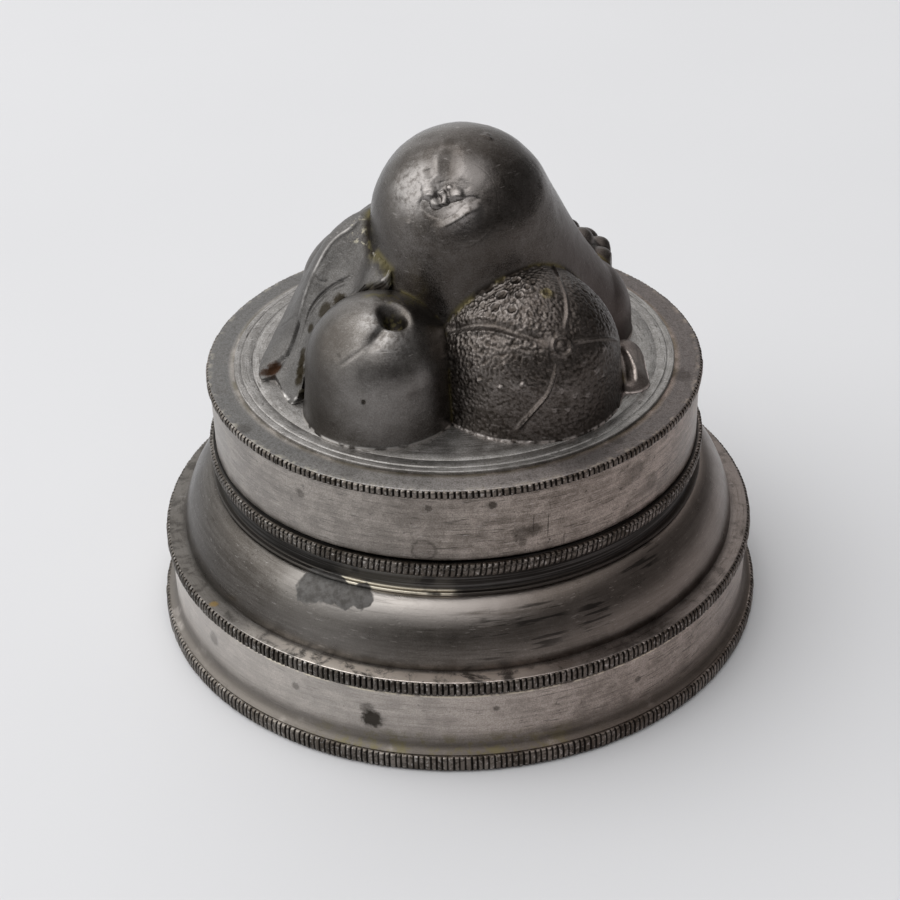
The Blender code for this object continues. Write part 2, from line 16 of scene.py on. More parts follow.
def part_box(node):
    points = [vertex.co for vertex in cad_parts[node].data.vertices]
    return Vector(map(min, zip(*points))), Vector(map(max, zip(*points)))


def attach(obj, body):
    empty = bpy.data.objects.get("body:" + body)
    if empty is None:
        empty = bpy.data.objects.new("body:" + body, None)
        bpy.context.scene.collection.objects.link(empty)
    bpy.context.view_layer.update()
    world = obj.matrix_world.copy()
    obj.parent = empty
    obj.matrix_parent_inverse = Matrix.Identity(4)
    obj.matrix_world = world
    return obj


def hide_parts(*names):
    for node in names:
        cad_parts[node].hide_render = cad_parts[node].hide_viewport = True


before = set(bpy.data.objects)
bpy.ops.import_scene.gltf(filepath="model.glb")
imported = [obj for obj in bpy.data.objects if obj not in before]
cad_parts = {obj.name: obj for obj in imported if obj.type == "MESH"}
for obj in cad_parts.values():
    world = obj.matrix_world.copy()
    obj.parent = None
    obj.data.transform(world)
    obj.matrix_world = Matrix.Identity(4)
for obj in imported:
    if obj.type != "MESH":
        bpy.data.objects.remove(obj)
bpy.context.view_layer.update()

MM = 0.001

# %% [markdown]
# ## The camera
# The picture was taken from about 37 degrees above the table with a long lens. A camera could be
# aimed at the middle of the mould with a Track To constraint, but then it could not roll. So its
# three axes are turned one after another, as a photographer turns a head on a tripod.

# %% Camera
RISE, PAN, TILT, ROLL = (math.radians(v) for v in (36.938, 0.194, 3.738, -1.464))
DISTANCE, LENS = 549.9 * MM, 75.0


def turn(vector, axis, angle):
    """A vector turned round an axis."""
    return Matrix.Rotation(angle, 3, axis) @ vector


def linked(name, data):
    """A new object in the scene."""
    thing = bpy.data.objects.new(name, data)
    bpy.context.scene.collection.objects.link(thing)
    return thing


back = Vector((0.0, -math.cos(RISE), math.sin(RISE)))
right = Vector((1.0, 0.0, 0.0))
up = back.cross(right)
stand = back * DISTANCE
back, right = turn(back, up, PAN), turn(right, up, PAN)
back, up = turn(back, right, TILT), turn(up, right, TILT)
right, up = turn(right, back, ROLL), turn(up, back, ROLL)
camera = linked("camera", bpy.data.cameras.new("camera"))
camera.data.lens = LENS
camera.matrix_world = Matrix.Translation(stand) @ Matrix((right, up, back)).transposed().to_4x4()
bpy.context.scene.camera = camera
print("camera stands at", [round(v, 3) for v in stand])

# %% [markdown]
# ## Shader maths as plain sums
# A finish is a tree of small nodes. Wiring them by hand is slow to read, so one small class wraps
# a socket: a sum, a product or a difference on it adds the Math node that works it out. Every
# other node comes from one method that takes its type, its settings and its inputs.


# %% Socket sums
def sum_of(operation, swap=False):
    """A method that adds the Math node of one operation."""
    def method(self, other):
        first, second = (other, self) if swap else (self, other)
        return self.finish.add("ShaderNodeMath", {"operation": operation}, {0: first, 1: second})
    return method


class Flow:
    """The output of one node. Sums on it add Math nodes."""

    def __init__(self, finish, socket):
        self.finish, self.socket = finish, socket

    __add__, __radd__ = sum_of("ADD"), sum_of("ADD", swap=True)
    __sub__, __rsub__ = sum_of("SUBTRACT"), sum_of("SUBTRACT", swap=True)
    __mul__, __rmul__ = sum_of("MULTIPLY"), sum_of("MULTIPLY", swap=True)
    most = sum_of("MAXIMUM")

    def between(self, low, high):
        """0 below low, 1 above high and a soft step in between."""
        return self.finish.add("ShaderNodeMapRange", {"interpolation_type": "SMOOTHSTEP"},
                               {"Value": self, "From Min": low, "From Max": high})


class Wiring:
    """The nodes of one tree."""

    def __init__(self, tree):
        self.tree = tree
        tree.nodes.clear()

    def add(self, kind, settings=(), inputs=(), output=0):
        """Add a node: first its settings, then the values or links of its sockets."""
        node = self.tree.nodes.new(kind)
        for name, value in dict(settings).items():
            setattr(node, name, value)
        for key, value in dict(inputs).items():
            if isinstance(value, Flow):
                self.tree.links.new(value.socket, node.inputs[key])
            else:
                node.inputs[key].default_value = value
        return Flow(self, node.outputs[output]) if len(node.outputs) else None

    def vector(self, operation, first, second, output=0):
        """Vector maths on two vectors."""
        return self.add("ShaderNodeVectorMath", {"operation": operation},
                        {0: first, 1: second}, output)

    def mix(self, share, first, second, blend="MIX"):
        """Two colours mixed."""
        return self.add("ShaderNodeMix", {"data_type": "RGBA", "blend_type": blend},
                        {0: share, 6: first, 7: second}, output=2)


print("socket sums ready")

# %% [markdown]
# A finish works in millimetres of the mould's own space, so a scratch keeps its real size and
# stays on its piece when the piece is lifted. Turned metal is marked along the way that it was
# cut. Going down the outside of the mould, the height falls or the radius grows, so height minus
# radius is a measure of the way down the outline, with no seam anywhere round the ring. Tints are
# laid over the colour one after another, as dirt and wear are on the real metal, and some of them
# are painted light and shade.


# %% One finish
class Finish(Wiring):
    """A material, with its colour and gloss as far as they are built up."""

    def __init__(self, name):
        self.material = bpy.data.materials.new(name)
        self.material.use_nodes = True
        super().__init__(self.material.node_tree)
        metres = self.add("ShaderNodeTexCoord", output="Object")
        self.place = self.vector("MULTIPLY", metres, (1.0 / MM,) * 3)

    @cached_property
    def axes(self):
        """The x, y and height of the place. The node is made when they are first asked for."""
        split = self.add("ShaderNodeSeparateXYZ", inputs={0: self.place}).socket.node
        return [Flow(self, axis) for axis in split.outputs]

    x = property(lambda self: self.axes[0])
    y = property(lambda self: self.axes[1])
    high = property(lambda self: self.axes[2])

    @cached_property
    def radius(self):
        """Distance from the axis of the mould."""
        return self.vector("DISTANCE", self.stretched((1, 1, 0)), (0, 0, 0), output=1)

    def stretched(self, scales):
        """The place with each axis scaled, so that noise is drawn out along the small ones."""
        return self.vector("MULTIPLY", self.place, scales)

    def round_ring(self, along, down):
        """Place in which noise runs round the ring in long lines."""
        return self.add("ShaderNodeCombineXYZ", inputs={
            0: self.x * along, 1: self.y * along, 2: (self.high - self.radius) * down})

    def clouds(self, size, detail=3.0, rough=0.55, where=None, warp=0.0):
        """Soft noise with features about as big as size, in millimetres."""
        return self.add("ShaderNodeTexNoise", inputs={
            "Vector": where or self.place, "Scale": 1.0 / size, "Detail": detail,
            "Roughness": rough, "Distortion": warp})

    def patches(self, low, high, size, *shape):
        """Clouds cut off softly, 0 below low and 1 above high."""
        return self.clouds(size, *shape).between(low, high)

    def spot(self, centre, size, soft=0.35, ragged=0.35, grain=1.0):
        """A soft patch with a ragged edge around a point, 1 in its middle."""
        away = self.vector("DISTANCE", self.place, centre, output=1)
        edge = (self.clouds(grain * size * 0.4, 2.0) - 0.5) * (2.0 * ragged * size)
        return 1.0 - (away + edge).between(size * (1.0 - soft), size * (1.0 + soft))

    def blot(self, spots, *shape):
        """Spots that run together: (centre, size) each."""
        first, *others = [self.spot(centre, size, *shape) for centre, size in spots]
        for other in others:
            first = first.most(other)
        return first

    def attribute(self, name):
        """A value that the mesh carries."""
        return self.add("ShaderNodeAttribute", {"attribute_name": name}, output="Fac")

    def lay(self, share, tint):
        """Lay a tint over the colour, as strongly as share says."""
        self.colour = self.mix(share, self.colour, tint)

    def stains(self, tint, dulling, *stains):
        """Lay several stains: (centre, size, strength) each."""
        for centre, size, strength in stains:
            stain = self.spot(centre, size, ragged=0.5) * strength
            self.lay(stain, tint)
            self.gloss += stain * dulling

    def done(self, height=None, bump=0.05, metal=1.0):
        """Wire the shader and give back the material."""
        inputs = {"Base Color": self.colour, "Roughness": self.gloss, "Metallic": metal}
        if height is not None:
            inputs["Normal"] = self.add("ShaderNodeBump", inputs={
                "Strength": 1.0, "Distance": bump * MM, "Height": height})
        shader = self.add("ShaderNodeBsdfPrincipled", inputs=inputs)
        self.add("ShaderNodeOutputMaterial", inputs={"Surface": shader})
        return self.material


print("finish kit ready")

# %% [markdown]
# ## Floor and light
# The mould stands on a plain pale sheet that fills the whole picture, so one big flat plane does
# for floor and background. One big soft box hangs on the left. The room is pale on the left and
# overhead, and dark on the right. Metal shows what it mirrors, so the upright skirts, which
# mirror the sheet, look light, and the right sides of the fruit and the dome look dark.

# %% Floor
FLOOR_HALF = 3.0
PAPER_DARK, PAPER_PALE = (0.645, 0.645, 0.659, 1.0), (0.675, 0.675, 0.689, 1.0)

sheet = Finish("pale_sheet")
sheet.colour, sheet.gloss = sheet.mix(sheet.clouds(160.0, 2.0), PAPER_DARK, PAPER_PALE), 0.7
floor_mesh = bpy.data.meshes.new("floor")
floor_mesh.from_pydata([(x * FLOOR_HALF, y * FLOOR_HALF, 0.0)
                        for x, y in ((-1, -1), (1, -1), (1, 1), (-1, 1))], [], [(0, 1, 2, 3)])
floor_mesh.materials.append(sheet.done(metal=0.0))
linked("floor", floor_mesh)
print("floor is", 2.0 * FLOOR_HALF, "m wide")

# %% Lamp and room
LAMP_WAY, LEFT_WAY, ABOVE_WAY = (Vector(way).normalized() for way in (
    (-0.62, 0.0, 0.76), (-0.75, 0.45, 0.48), (-0.10, -0.25, 0.96)))
LAMP_AWAY, LAMP_SIZE, LAMP_POWER = 2.6, 3.0, 34.0
DARKEST, PALEST = 0.14, 1.20
LEFT_EDGE, ABOVE_EDGE = (-0.2, 0.8), (0.62, 0.92)   # where each pale part begins and is full

soft_box = linked("soft_box", bpy.data.lights.new("soft_box", "AREA"))
soft_box.data.size, soft_box.data.energy = LAMP_SIZE, LAMP_POWER
soft_box.location = LAMP_WAY * LAMP_AWAY
soft_box.rotation_euler = LAMP_WAY.to_track_quat("Z", "Y").to_euler()

world = bpy.data.worlds.new("room")
bpy.context.scene.world = world
world.use_nodes = True
room = Wiring(world.node_tree)
aim = room.add("ShaderNodeTexCoord", output="Generated")
left = room.vector("DOT_PRODUCT", aim, LEFT_WAY, output=1).between(*LEFT_EDGE)
above = room.vector("DOT_PRODUCT", aim, ABOVE_WAY, output=1).between(*ABOVE_EDGE)
glow = room.add("ShaderNodeBackground", inputs={
    "Color": (1.0, 1.0, 1.0, 1.0),
    "Strength": left.most(above) * (PALEST - DARKEST) + DARKEST})
room.add("ShaderNodeOutputWorld", inputs={"Surface": glow})
bpy.context.scene.view_settings.view_transform = "Standard"
print("soft box stands at", [round(v, 2) for v in soft_box.location])

# %% [markdown]
# ## Turned rings
# Every ring of the mould was cast and then turned on a lathe. A Screw modifier would sweep an
# outline round the axis, but it gives perfect metal. Here the columns are laid out in code, so
# that the wall can also be a little out of true, as old soft pewter is.

# %% Outline of a turned piece
COLUMNS = 320               # points round a ring
CORNER_STEPS = 5            # steps in a rounded corner
CORNER_SHARE = 0.45         # a rounded corner takes up at most this share of a side
LONGEST = 2.5               # longest step down an outline
DENT_SIZE = 16.0            # size of the hollows in a wall that is out of true
NOISE_FADE, NOISE_STEP = 0.8, 2.0       # how noise gets weaker and finer by the octave


def outline(corners, disc=False):
    """Points of an outline of (radius, height, rounding) corners, in millimetres."""
    points = []
    for index, (radius, height, size) in enumerate(corners):
        here = np.array((radius, height), float)
        before = np.array(corners[index - 1][:2]) - here
        after = np.array(corners[(index + 1) % len(corners)][:2]) - here
        lengths = np.linalg.norm(before), np.linalg.norm(after)
        reach = min(size, CORNER_SHARE * min(lengths))
        if reach <= 0.0:
            points.append(here)
            continue
        start, end = here + before / lengths[0] * reach, here + after / lengths[1] * reach
        for t in np.linspace(0.0, 1.0, CORNER_STEPS + 1):
            points.append((1 - t) ** 2 * start + 2 * t * (1 - t) * here + t ** 2 * end)
    full = []
    for here, there in zip(points, points[1:] + points[:1]):
        pieces = max(1, math.ceil(np.linalg.norm(there - here) / LONGEST))
        if disc and there is points[0]:
            pieces = 1
        full += [here + (there - here) * step / pieces for step in range(pieces)]
    return np.array(full)


def around(radius, angles, height=0.0):
    """Points at some angles round the axis."""
    return np.stack(np.broadcast_arrays(
        radius * np.cos(angles), radius * np.sin(angles), height), -1)


def soft_noise(points, size, octaves=2):
    """Noise from about -1 to 1 at each point, with features of one size."""
    return np.array([noise.fractal(Vector(p), NOISE_FADE, NOISE_STEP, octaves)
                     for p in np.asarray(points) / size])


print("points round a ring:", COLUMNS)

# %% Mesh of a turned piece
SHARP_ANGLE = math.radians(50.0)


def grid_faces(rows, columns, ring):
    """Quads between the rows of a grid that goes all the way round."""
    faces = []
    for row in range(rows if ring else rows - 1):
        here, there = row * columns, (row + 1) % rows * columns
        faces += [(here + k, there + k, there + (k + 1) % columns, here + (k + 1) % columns)
                  for k in range(columns)]
    return faces


def shade(mesh):
    """Smooth skin with sharp corners."""
    mesh.shade_smooth()
    mesh.set_sharp_from_angle(angle=SHARP_ANGLE)


def piece_from(name, points, faces):
    """One smooth mesh object from points in millimetres."""
    mesh = bpy.data.meshes.new(name)
    mesh.from_pydata((np.asarray(points) * MM).tolist(), [], faces)
    shade(mesh)
    return linked(name, mesh)


def settle(piece, body, node=None):
    """Say what a piece rides on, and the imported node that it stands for."""
    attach(piece, body)
    if node:
        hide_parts(node)
    print(piece.name, "has", len(piece.data.polygons), "faces")


def turned(name, corners, disc=False, dent=0.0):
    """A turned ring or disc. dent is how far its wall is out of true."""
    profile = outline(corners, disc)
    rim = profile[1:-1] if disc else profile
    angles = 2.0 * math.pi * np.arange(COLUMNS) / COLUMNS
    points = around(rim[:, :1], angles, rim[:, 1:]).reshape(-1, 3)
    if dent:
        out = points * (1.0, 1.0, 0.0) / np.linalg.norm(points[:, :2], axis=1)[:, None]
        points = points + out * soft_noise(points, DENT_SIZE)[:, None] * dent
    faces = grid_faces(len(rim), COLUMNS, not disc)
    if disc:
        crown, last = len(points), (len(rim) - 1) * COLUMNS
        points = np.vstack((points, (0.0, 0.0, profile[0, 1]), (0.0, 0.0, profile[-1, 1])))
        for k in range(COLUMNS):
            after = (k + 1) % COLUMNS
            faces += [(crown, k, after), (crown + 1, last + after, last + k)]
    return piece_from(name, points, faces)


print("edges stay sharp above", round(math.degrees(SHARP_ANGLE)), "degrees")

# %% [markdown]
# ## The turned pieces
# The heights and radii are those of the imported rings. Where two rings are soldered on the real
# mould, the pieces here run a little way into each other, so that no daylight shows between
# them. Behind each milled bead the ring stands back, because the bead is a piece of its own.

# %% Curves of the foot and the dome
FOOT_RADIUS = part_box("base_skirt_ring")[1][0] / MM
COVE_RADIUS, COVE_HEIGHT, COVE_TURN, COVE_STEPS = 3.5, 8.2, 1.2, 9
DOME_FOOT, DOME_TOP = np.array((77.0, 27.0)), np.array((67.3, 43.2))
DOME_SQUARE, DOME_STEPS = 2.0 / 1.6, 25

cove = [(FOOT_RADIUS - COVE_RADIUS * math.cos(a), COVE_HEIGHT - COVE_RADIUS * math.sin(a), 0)
        for a in np.linspace(0.0, COVE_TURN, COVE_STEPS)]
print("foot radius", round(FOOT_RADIUS, 2), "mm")


def dome_curve(inset):
    """Points down the dome, a flattened quarter ellipse, as far inside it as inset."""
    run, rise = DOME_FOOT[0] - DOME_TOP[0], DOME_TOP[1] - DOME_FOOT[1]
    turns = 0.5 * math.pi * (1.0 - np.linspace(0.0, 1.0, DOME_STEPS))
    return [(DOME_FOOT[0] - inset - run * (1.0 - math.cos(a) ** DOME_SQUARE),
             DOME_FOOT[1] + rise * math.sin(a) ** DOME_SQUARE, 0) for a in turns]


# %% Base, body and cover
RINGS = (
    ("base_skirt", "base_cover", "skirt_pewter", "base_skirt_ring", 0.07, [
        (79.5, 22.6, 0.3), (81.5, 22.6, 0.5), *cove, (83.6, 4.4, 0), (83.6, 0, 0.3),
        (76.2, 0, 0.5), (76.2, 2.2, 0), (79.5, 2.2, 0)]),
    ("shoulder", "mould_body", "body_pewter", "shoulder_ring", 0, [
        (76.4, 27, 0), (81.6, 27, 0.2), (81.6, 22.9, 0), (79.2, 22.9, 0), (79.2, 5.6, 0.5),
        (76.6, 5.6, 0.3), (74.5, 22.9, 0), (74.5, 24.7, 0), (76.4, 24.7, 0)]),
    ("dome", "mould_body", "body_pewter", "dome_wall", 0.12, [
        (67.5, 44.25, 0.25), (67.75, 43.75, 0.2), *dome_curve(0.0), (77, 25, 0), (74.5, 25, 0),
        *dome_curve(2.5)[::-1], (64.8, 44.25, 0)]),
    ("collar", "mould_body", "body_pewter", "collar_ring", 0, [
        (61.5, 70.4, 0.2), (63.9, 70.4, 0.5), (63.9, 53, 0), (66.9, 53, 0), (66.9, 49.5, 0),
        (66.3, 48.9, 0.4), (66.3, 44.4, 0.3), (66.9, 43.9, 0), (64.8, 43.9, 0), (61.5, 53, 0)]),
    ("cover_skirt", "fruit_cover", "skirt_pewter", "cover_ring", 0.08, [
        (59, 74.4, 0), (66.4, 74.4, 0.4), (66.2, 73.6, 0), (66.2, 53.3, 0.4), (64.2, 53.3, 0.3),
        (64.2, 71, 0), (56.6, 71, 0), (56.6, 72.5, 0), (59, 72.5, 0)]))
for name, body, slot, node, dent, corners in RINGS:
    settle(turned(name, corners, dent=dent), body, node)
plate = turned("plate", [
    (0, 75.4, 0), (54.1, 75.4, 0), (54.4, 75.2, 0.1), (54.7, 75.4, 0), (57.2, 75.4, 0.1),
    (57.5, 75.15, 0.1), (57.8, 75.3, 0.1), (59.4, 75.3, 0.4), (59.4, 72.8, 0), (0, 72.8, 0)],
    disc=True)
settle(plate, "fruit_cover", "fruit_plate")

# %% [markdown]
# ## Milled beads
# A knurl was rolled round the edge of every ring, and it left upright teeth 1.5 mm apart. A bump
# map would look right from the front but leave a smooth outline, so the teeth are real. Each
# bead is a ring whose radius dips between the teeth. Every tooth is cut a little differently,
# and long stretches are worn down, because the pewter is soft.

# %% Bead
PER_TOOTH = 8
TOOTH_PITCH = 1.504
GROOVE_NARROW = 3.0
WORN_STRETCH = 14.0
WEAKEST, PROUDEST, WANDER = 0.6, 0.16, 0.09     # how much one tooth differs from the next


def keep_value(piece, name, values):
    """Store one value for each point."""
    store = piece.data.attributes.new(name, "FLOAT", "POINT")
    store.data.foreach_set("value", np.asarray(values, dtype=np.float32))


def milled_bead(name, radius, low, high, rows, depth, seed, wear, slant=0.0):
    """A closed toothed ring. rows are (set back, share of the height, share of the cut)."""
    dice = np.random.default_rng(seed)
    teeth = round(2.0 * math.pi * radius / TOOTH_PITCH)
    steps = np.arange(teeth * PER_TOOTH)
    tooth, phase = steps // PER_TOOTH, steps % PER_TOOTH / PER_TOOTH
    cut = (0.5 - 0.5 * np.cos(2.0 * math.pi * phase)) ** GROOVE_NARROW
    strength = dice.uniform(WEAKEST, 1.0, teeth)[tooth]
    proud = dice.uniform(0.0, PROUDEST, teeth)[tooth] * (1.0 - cut)
    shift = dice.uniform(-WANDER, WANDER, teeth)[tooth]
    angles = 2.0 * math.pi * ((steps + shift * PER_TOOTH) / len(steps))
    ring = around(radius, angles)
    worn = 1.0 - wear * (0.5 + 0.5 * soft_noise(ring[::PER_TOOTH], WORN_STRETCH)[tooth])
    points, gaps = [], []
    for back_by, share, groove in rows:
        inward = back_by + groove * (depth * cut * strength * worn + proud)
        points.append(around(radius - inward, angles + slant * (share - 0.5) / radius,
                             low + (high - low) * share))
        gaps.append(groove * cut * strength)
    piece = piece_from(name, np.vstack(points), grid_faces(len(rows), len(steps), True))
    keep_value(piece, "gap", np.concatenate(gaps))
    print(name, "has", teeth, "teeth")
    return piece


BOLD = ((2.4, 1, 0), (1.2, 1, 0), (0.62, 0.98, 0.9), (0.34, 0.93, 1), (0.14, 0.84, 1),
        (0.03, 0.70, 1), (0, 0.5, 1), (0.03, 0.30, 1), (0.14, 0.16, 1), (0.34, 0.07, 1),
        (0.62, 0.02, 0.9), (1.2, 0, 0), (2.4, 0, 0))
BANDED = ((2.4, 1, 0), (1, 1, 0), (0.3, 0.99, 1), (0.05, 0.95, 1), (0, 0.84, 1), (0.05, 0.74, 1),
          (0.42, 0.70, 0.45), (0.30, 0.64, 0.5), (0.12, 0.58, 0.75), (0.06, 0.4, 0.75),
          (0.12, 0.16, 0.75), (0.35, 0.03, 0.6), (1, 0, 0), (2.4, 0, 0))
print("rows of points in a bead:", len(BOLD), "or", len(BANDED))

# %% The four beads
for body, slot, *shape in (
        ("base_cover", "skirt_pewter", "foot_bead", FOOT_RADIUS, 0.12, 4.7, BOLD, 0.5, 1, 0.5),
        ("mould_body", "body_pewter", "shoulder_bead", 82.6, 22.95, 26.9, BOLD, 0.9, 2, 0.15),
        ("mould_body", "body_pewter", "collar_bead", 68.0, 49.35, 52.95, BANDED, 0.65, 3, 0.3,
         0.5),
        ("fruit_cover", "skirt_pewter", "lid_bead", 67.1, 71.9, 74.3, BOLD, 0.7, 4, 0.4)):
    settle(milled_bead(*shape), body)

# %% [markdown]
# ## Cast fruit
# The fruit was cast in a carved mould and had to draw out of it, so no form has an undercut.
# Subdivision modelling could make such fruit, but the casting rule suggests a better way: each
# form is the skin over a row of balls, drawn straight down to the plate with a little taper. The
# mesh is laid out on spokes from the top, in even steps down the skin, so that the fine marks
# added later are equally sharp everywhere.

# %% Skin over a row of balls
FRUIT_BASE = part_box("apple")[0][2] / MM
SUNK = -0.35                # the castings run this far below their base, into the plate
WALL = 2.0                  # thickness of the castings
CUT_DEPTH = 6.0             # how far the hollow reaches down through the plate
FINE = 240                  # samples down each spoke before it is divided evenly
SPOKE_END = 0.9995          # the last sample of a spoke, just inside the upper edge
LOWEST = 0.3                # the top comes no closer than this to the bottom
FAR_AWAY = 1e9              # farther than anything on the mould
TINY = 1e-9                 # keeps divisions and logarithms away from nought


def run_along(path):
    """How far each point of a line is from its start."""
    return np.concatenate(((0.0,), np.cumsum(np.linalg.norm(np.diff(path, axis=0), axis=1))))


def chain(first, last, ease, count):
    """Balls from one (x, y, height, radius) row to another, falling as ease says."""
    t = np.linspace(0.0, 1.0, count)[:, None]
    first, last = np.array(first, float), np.array(last, float)
    rows = first + (last - first) * t
    rows[:, 2] = first[2] + (last[2] - first[2]) * (1.0 - (1.0 - t[:, 0]) ** ease)
    return rows


class Casting:
    """A form as the skin over balls, in millimetres above the plate, with its taper."""

    def __init__(self, balls, taper, pole=None, dimple=(0.0, 1.0), bumps=(), crowd=(0.0, 0.0)):
        self.balls = np.array(balls, float).reshape(-1, 4)
        self.bumps = np.array(bumps, float).reshape(-1, 4)
        self.taper = math.tan(math.radians(taper))
        self.pole = np.array(pole if pole is not None else self.balls[0, :2], float)
        self.dimple, self.crowd = dimple, crowd
        self.girth = np.max(self.balls[:, 3])

    def reach(self, ways, radii):
        """Distance from the pole to the edge of the balls along each way."""
        offset = self.balls[:, :2] - self.pole
        along = ways @ offset.T
        across = ways @ np.stack((offset[:, 1], -offset[:, 0]))
        inside = radii ** 2 - across ** 2
        return np.max(np.where(inside > 0.0, along + np.sqrt(np.clip(inside, 0, None)), 0), axis=1)

    def edges(self, ways, grow, bottom):
        """Distance from the pole to the upper edge of the wall and to its foot."""
        radii = self.balls[:, 3] + grow
        drop = np.clip(self.balls[:, 2] - bottom, 0, None) * self.taper
        return self.reach(ways, radii), self.reach(ways, radii + drop)

    def top(self, spots, grow):
        """Height of the skin above the plate at each spot."""
        rows = np.vstack((self.balls, self.bumps)) if grow >= 0.0 else self.balls
        away = spots[:, None, :] - rows[None, :, :2]
        inside = (rows[:, 3] + grow) ** 2 - np.sum(away ** 2, axis=2)
        tops = rows[:, 2] + np.sqrt(np.clip(inside, 0.0, None))
        top = np.max(np.where(inside > 0.0, tops, np.min(rows[:, 2])), axis=1)
        far = np.linalg.norm(spots - self.pole, axis=1) / (self.dimple[1] - grow)
        return top - self.dimple[0] * np.exp(-far ** 3)

    def skin(self, size, grow=0.0, bottom=SUNK):
        """Rows of points down the spokes, size apart. The first row is the pole."""
        spokes = round(2.0 * math.pi * self.girth / size)
        angles = 2.0 * math.pi * np.arange(spokes) / spokes
        angles = angles + math.radians(self.crowd[0]) - self.crowd[1] * np.sin(angles)
        ways = np.stack((np.cos(angles), np.sin(angles)), -1)
        edge, foot = self.edges(ways, grow, bottom)
        shares = SPOKE_END * np.sin(0.5 * math.pi * np.linspace(0.0, 1.0, FINE))
        columns = []
        for way, end, low in zip(ways, edge, foot):
            heights = np.maximum(self.top(self.pole + way * (end * shares)[:, None], grow),
                                 bottom + LOWEST)
            path = np.vstack((np.stack((end * shares, heights), -1), ((low, bottom),)))
            columns.append((way, path, run_along(path)))
        rows = round(max(run[-1] for _, _, run in columns) / size)
        points = np.empty((rows + 1, spokes, 3))
        for k, (way, path, run) in enumerate(columns):
            steps = np.linspace(0.0, run[-1], rows + 1)
            points[:, k, :2] = self.pole + way * np.interp(steps, run, path[:, 0])[:, None]
            points[:, k, 2] = FRUIT_BASE + np.interp(steps, run, path[:, 1])
        return points

    def clearance(self, points):
        """Distance of each point outside the plain form. It is negative inside."""
        best = np.full(len(points), FAR_AWAY)
        for x, y, height, radius in self.balls:
            flat = np.hypot(points[:, 0] - x, points[:, 1] - y)
            drop = FRUIT_BASE + height - points[:, 2]
            over = np.hypot(flat, drop) - radius
            beside = flat - radius - np.clip(drop, 0.0, None) * self.taper
            best = np.minimum(best, np.where(drop < 0.0, over, beside))
        return best


print("the castings stand at", round(FRUIT_BASE, 2), "mm")

# %% [markdown]
# A form becomes a mesh in one go. Its marks are worked out as heights in millimetres at every
# point of the skin, added together, and the points are moved along their normals by the total.
# The foot row keeps its height, because it stands on the plate.


# %% Mesh of a casting
def normals_of(points):
    """Outward directions of a grid of points."""
    down = np.gradient(points, axis=0)
    down[0] = points[1] - points[0]
    across = np.roll(points, -1, axis=1) - np.roll(points, 1, axis=1)
    across[0] = across[1]
    normal = np.cross(down, across)
    return normal / np.maximum(np.linalg.norm(normal, axis=2, keepdims=True), TINY)


def casting_mesh(name, points, heights=None):
    """Close a grid of rows into a mesh: a pole, rings, and a flat foot."""
    count, spokes = points.shape[:2]
    if heights is not None:
        heights = heights.reshape(count, spokes, 1)
        shift = heights * normals_of(points)
        shift[0] = (0.0, 0.0, float(np.mean(heights[1])))
        shift[-1, :, 2] = 0.0
        points = points + shift
    flat = np.vstack((points[0, :1], points[1:].reshape(-1, 3)))
    faces = [(0, 1 + k, 1 + (k + 1) % spokes) for k in range(spokes)]
    faces += [tuple(v + 1 for v in face) for face in grid_faces(count - 1, spokes, False)]
    last = 1 + (count - 2) * spokes
    faces.append(tuple(last + k for k in range(spokes))[::-1])
    return piece_from(name, flat, faces)


print("casting meshes ready")

# %% [markdown]
# ## The forms
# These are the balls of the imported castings, and the long pear gets many more than in the plain
# model. The grapes are a ball with small berries on it. Balls would make a lumpy leaf. So the
# leaf that shows is a sheet: its outline is traced on the plate, and its top bends through a few
# points like a thin plate of springy metal.

# %% A bent sheet
SLEWS = (-0.24, -0.12, 0.12, 0.24)      # ways beside a way, to keep thin points solid
SHEET_SINK = 1.6            # a slope has to be deeper to be as thick
SHEET_SLOPE = 0.7           # a point over a slope is nearer to it than it is high above it
SHEET_GIRTH = 14.0          # half its width, which sets the number of spokes


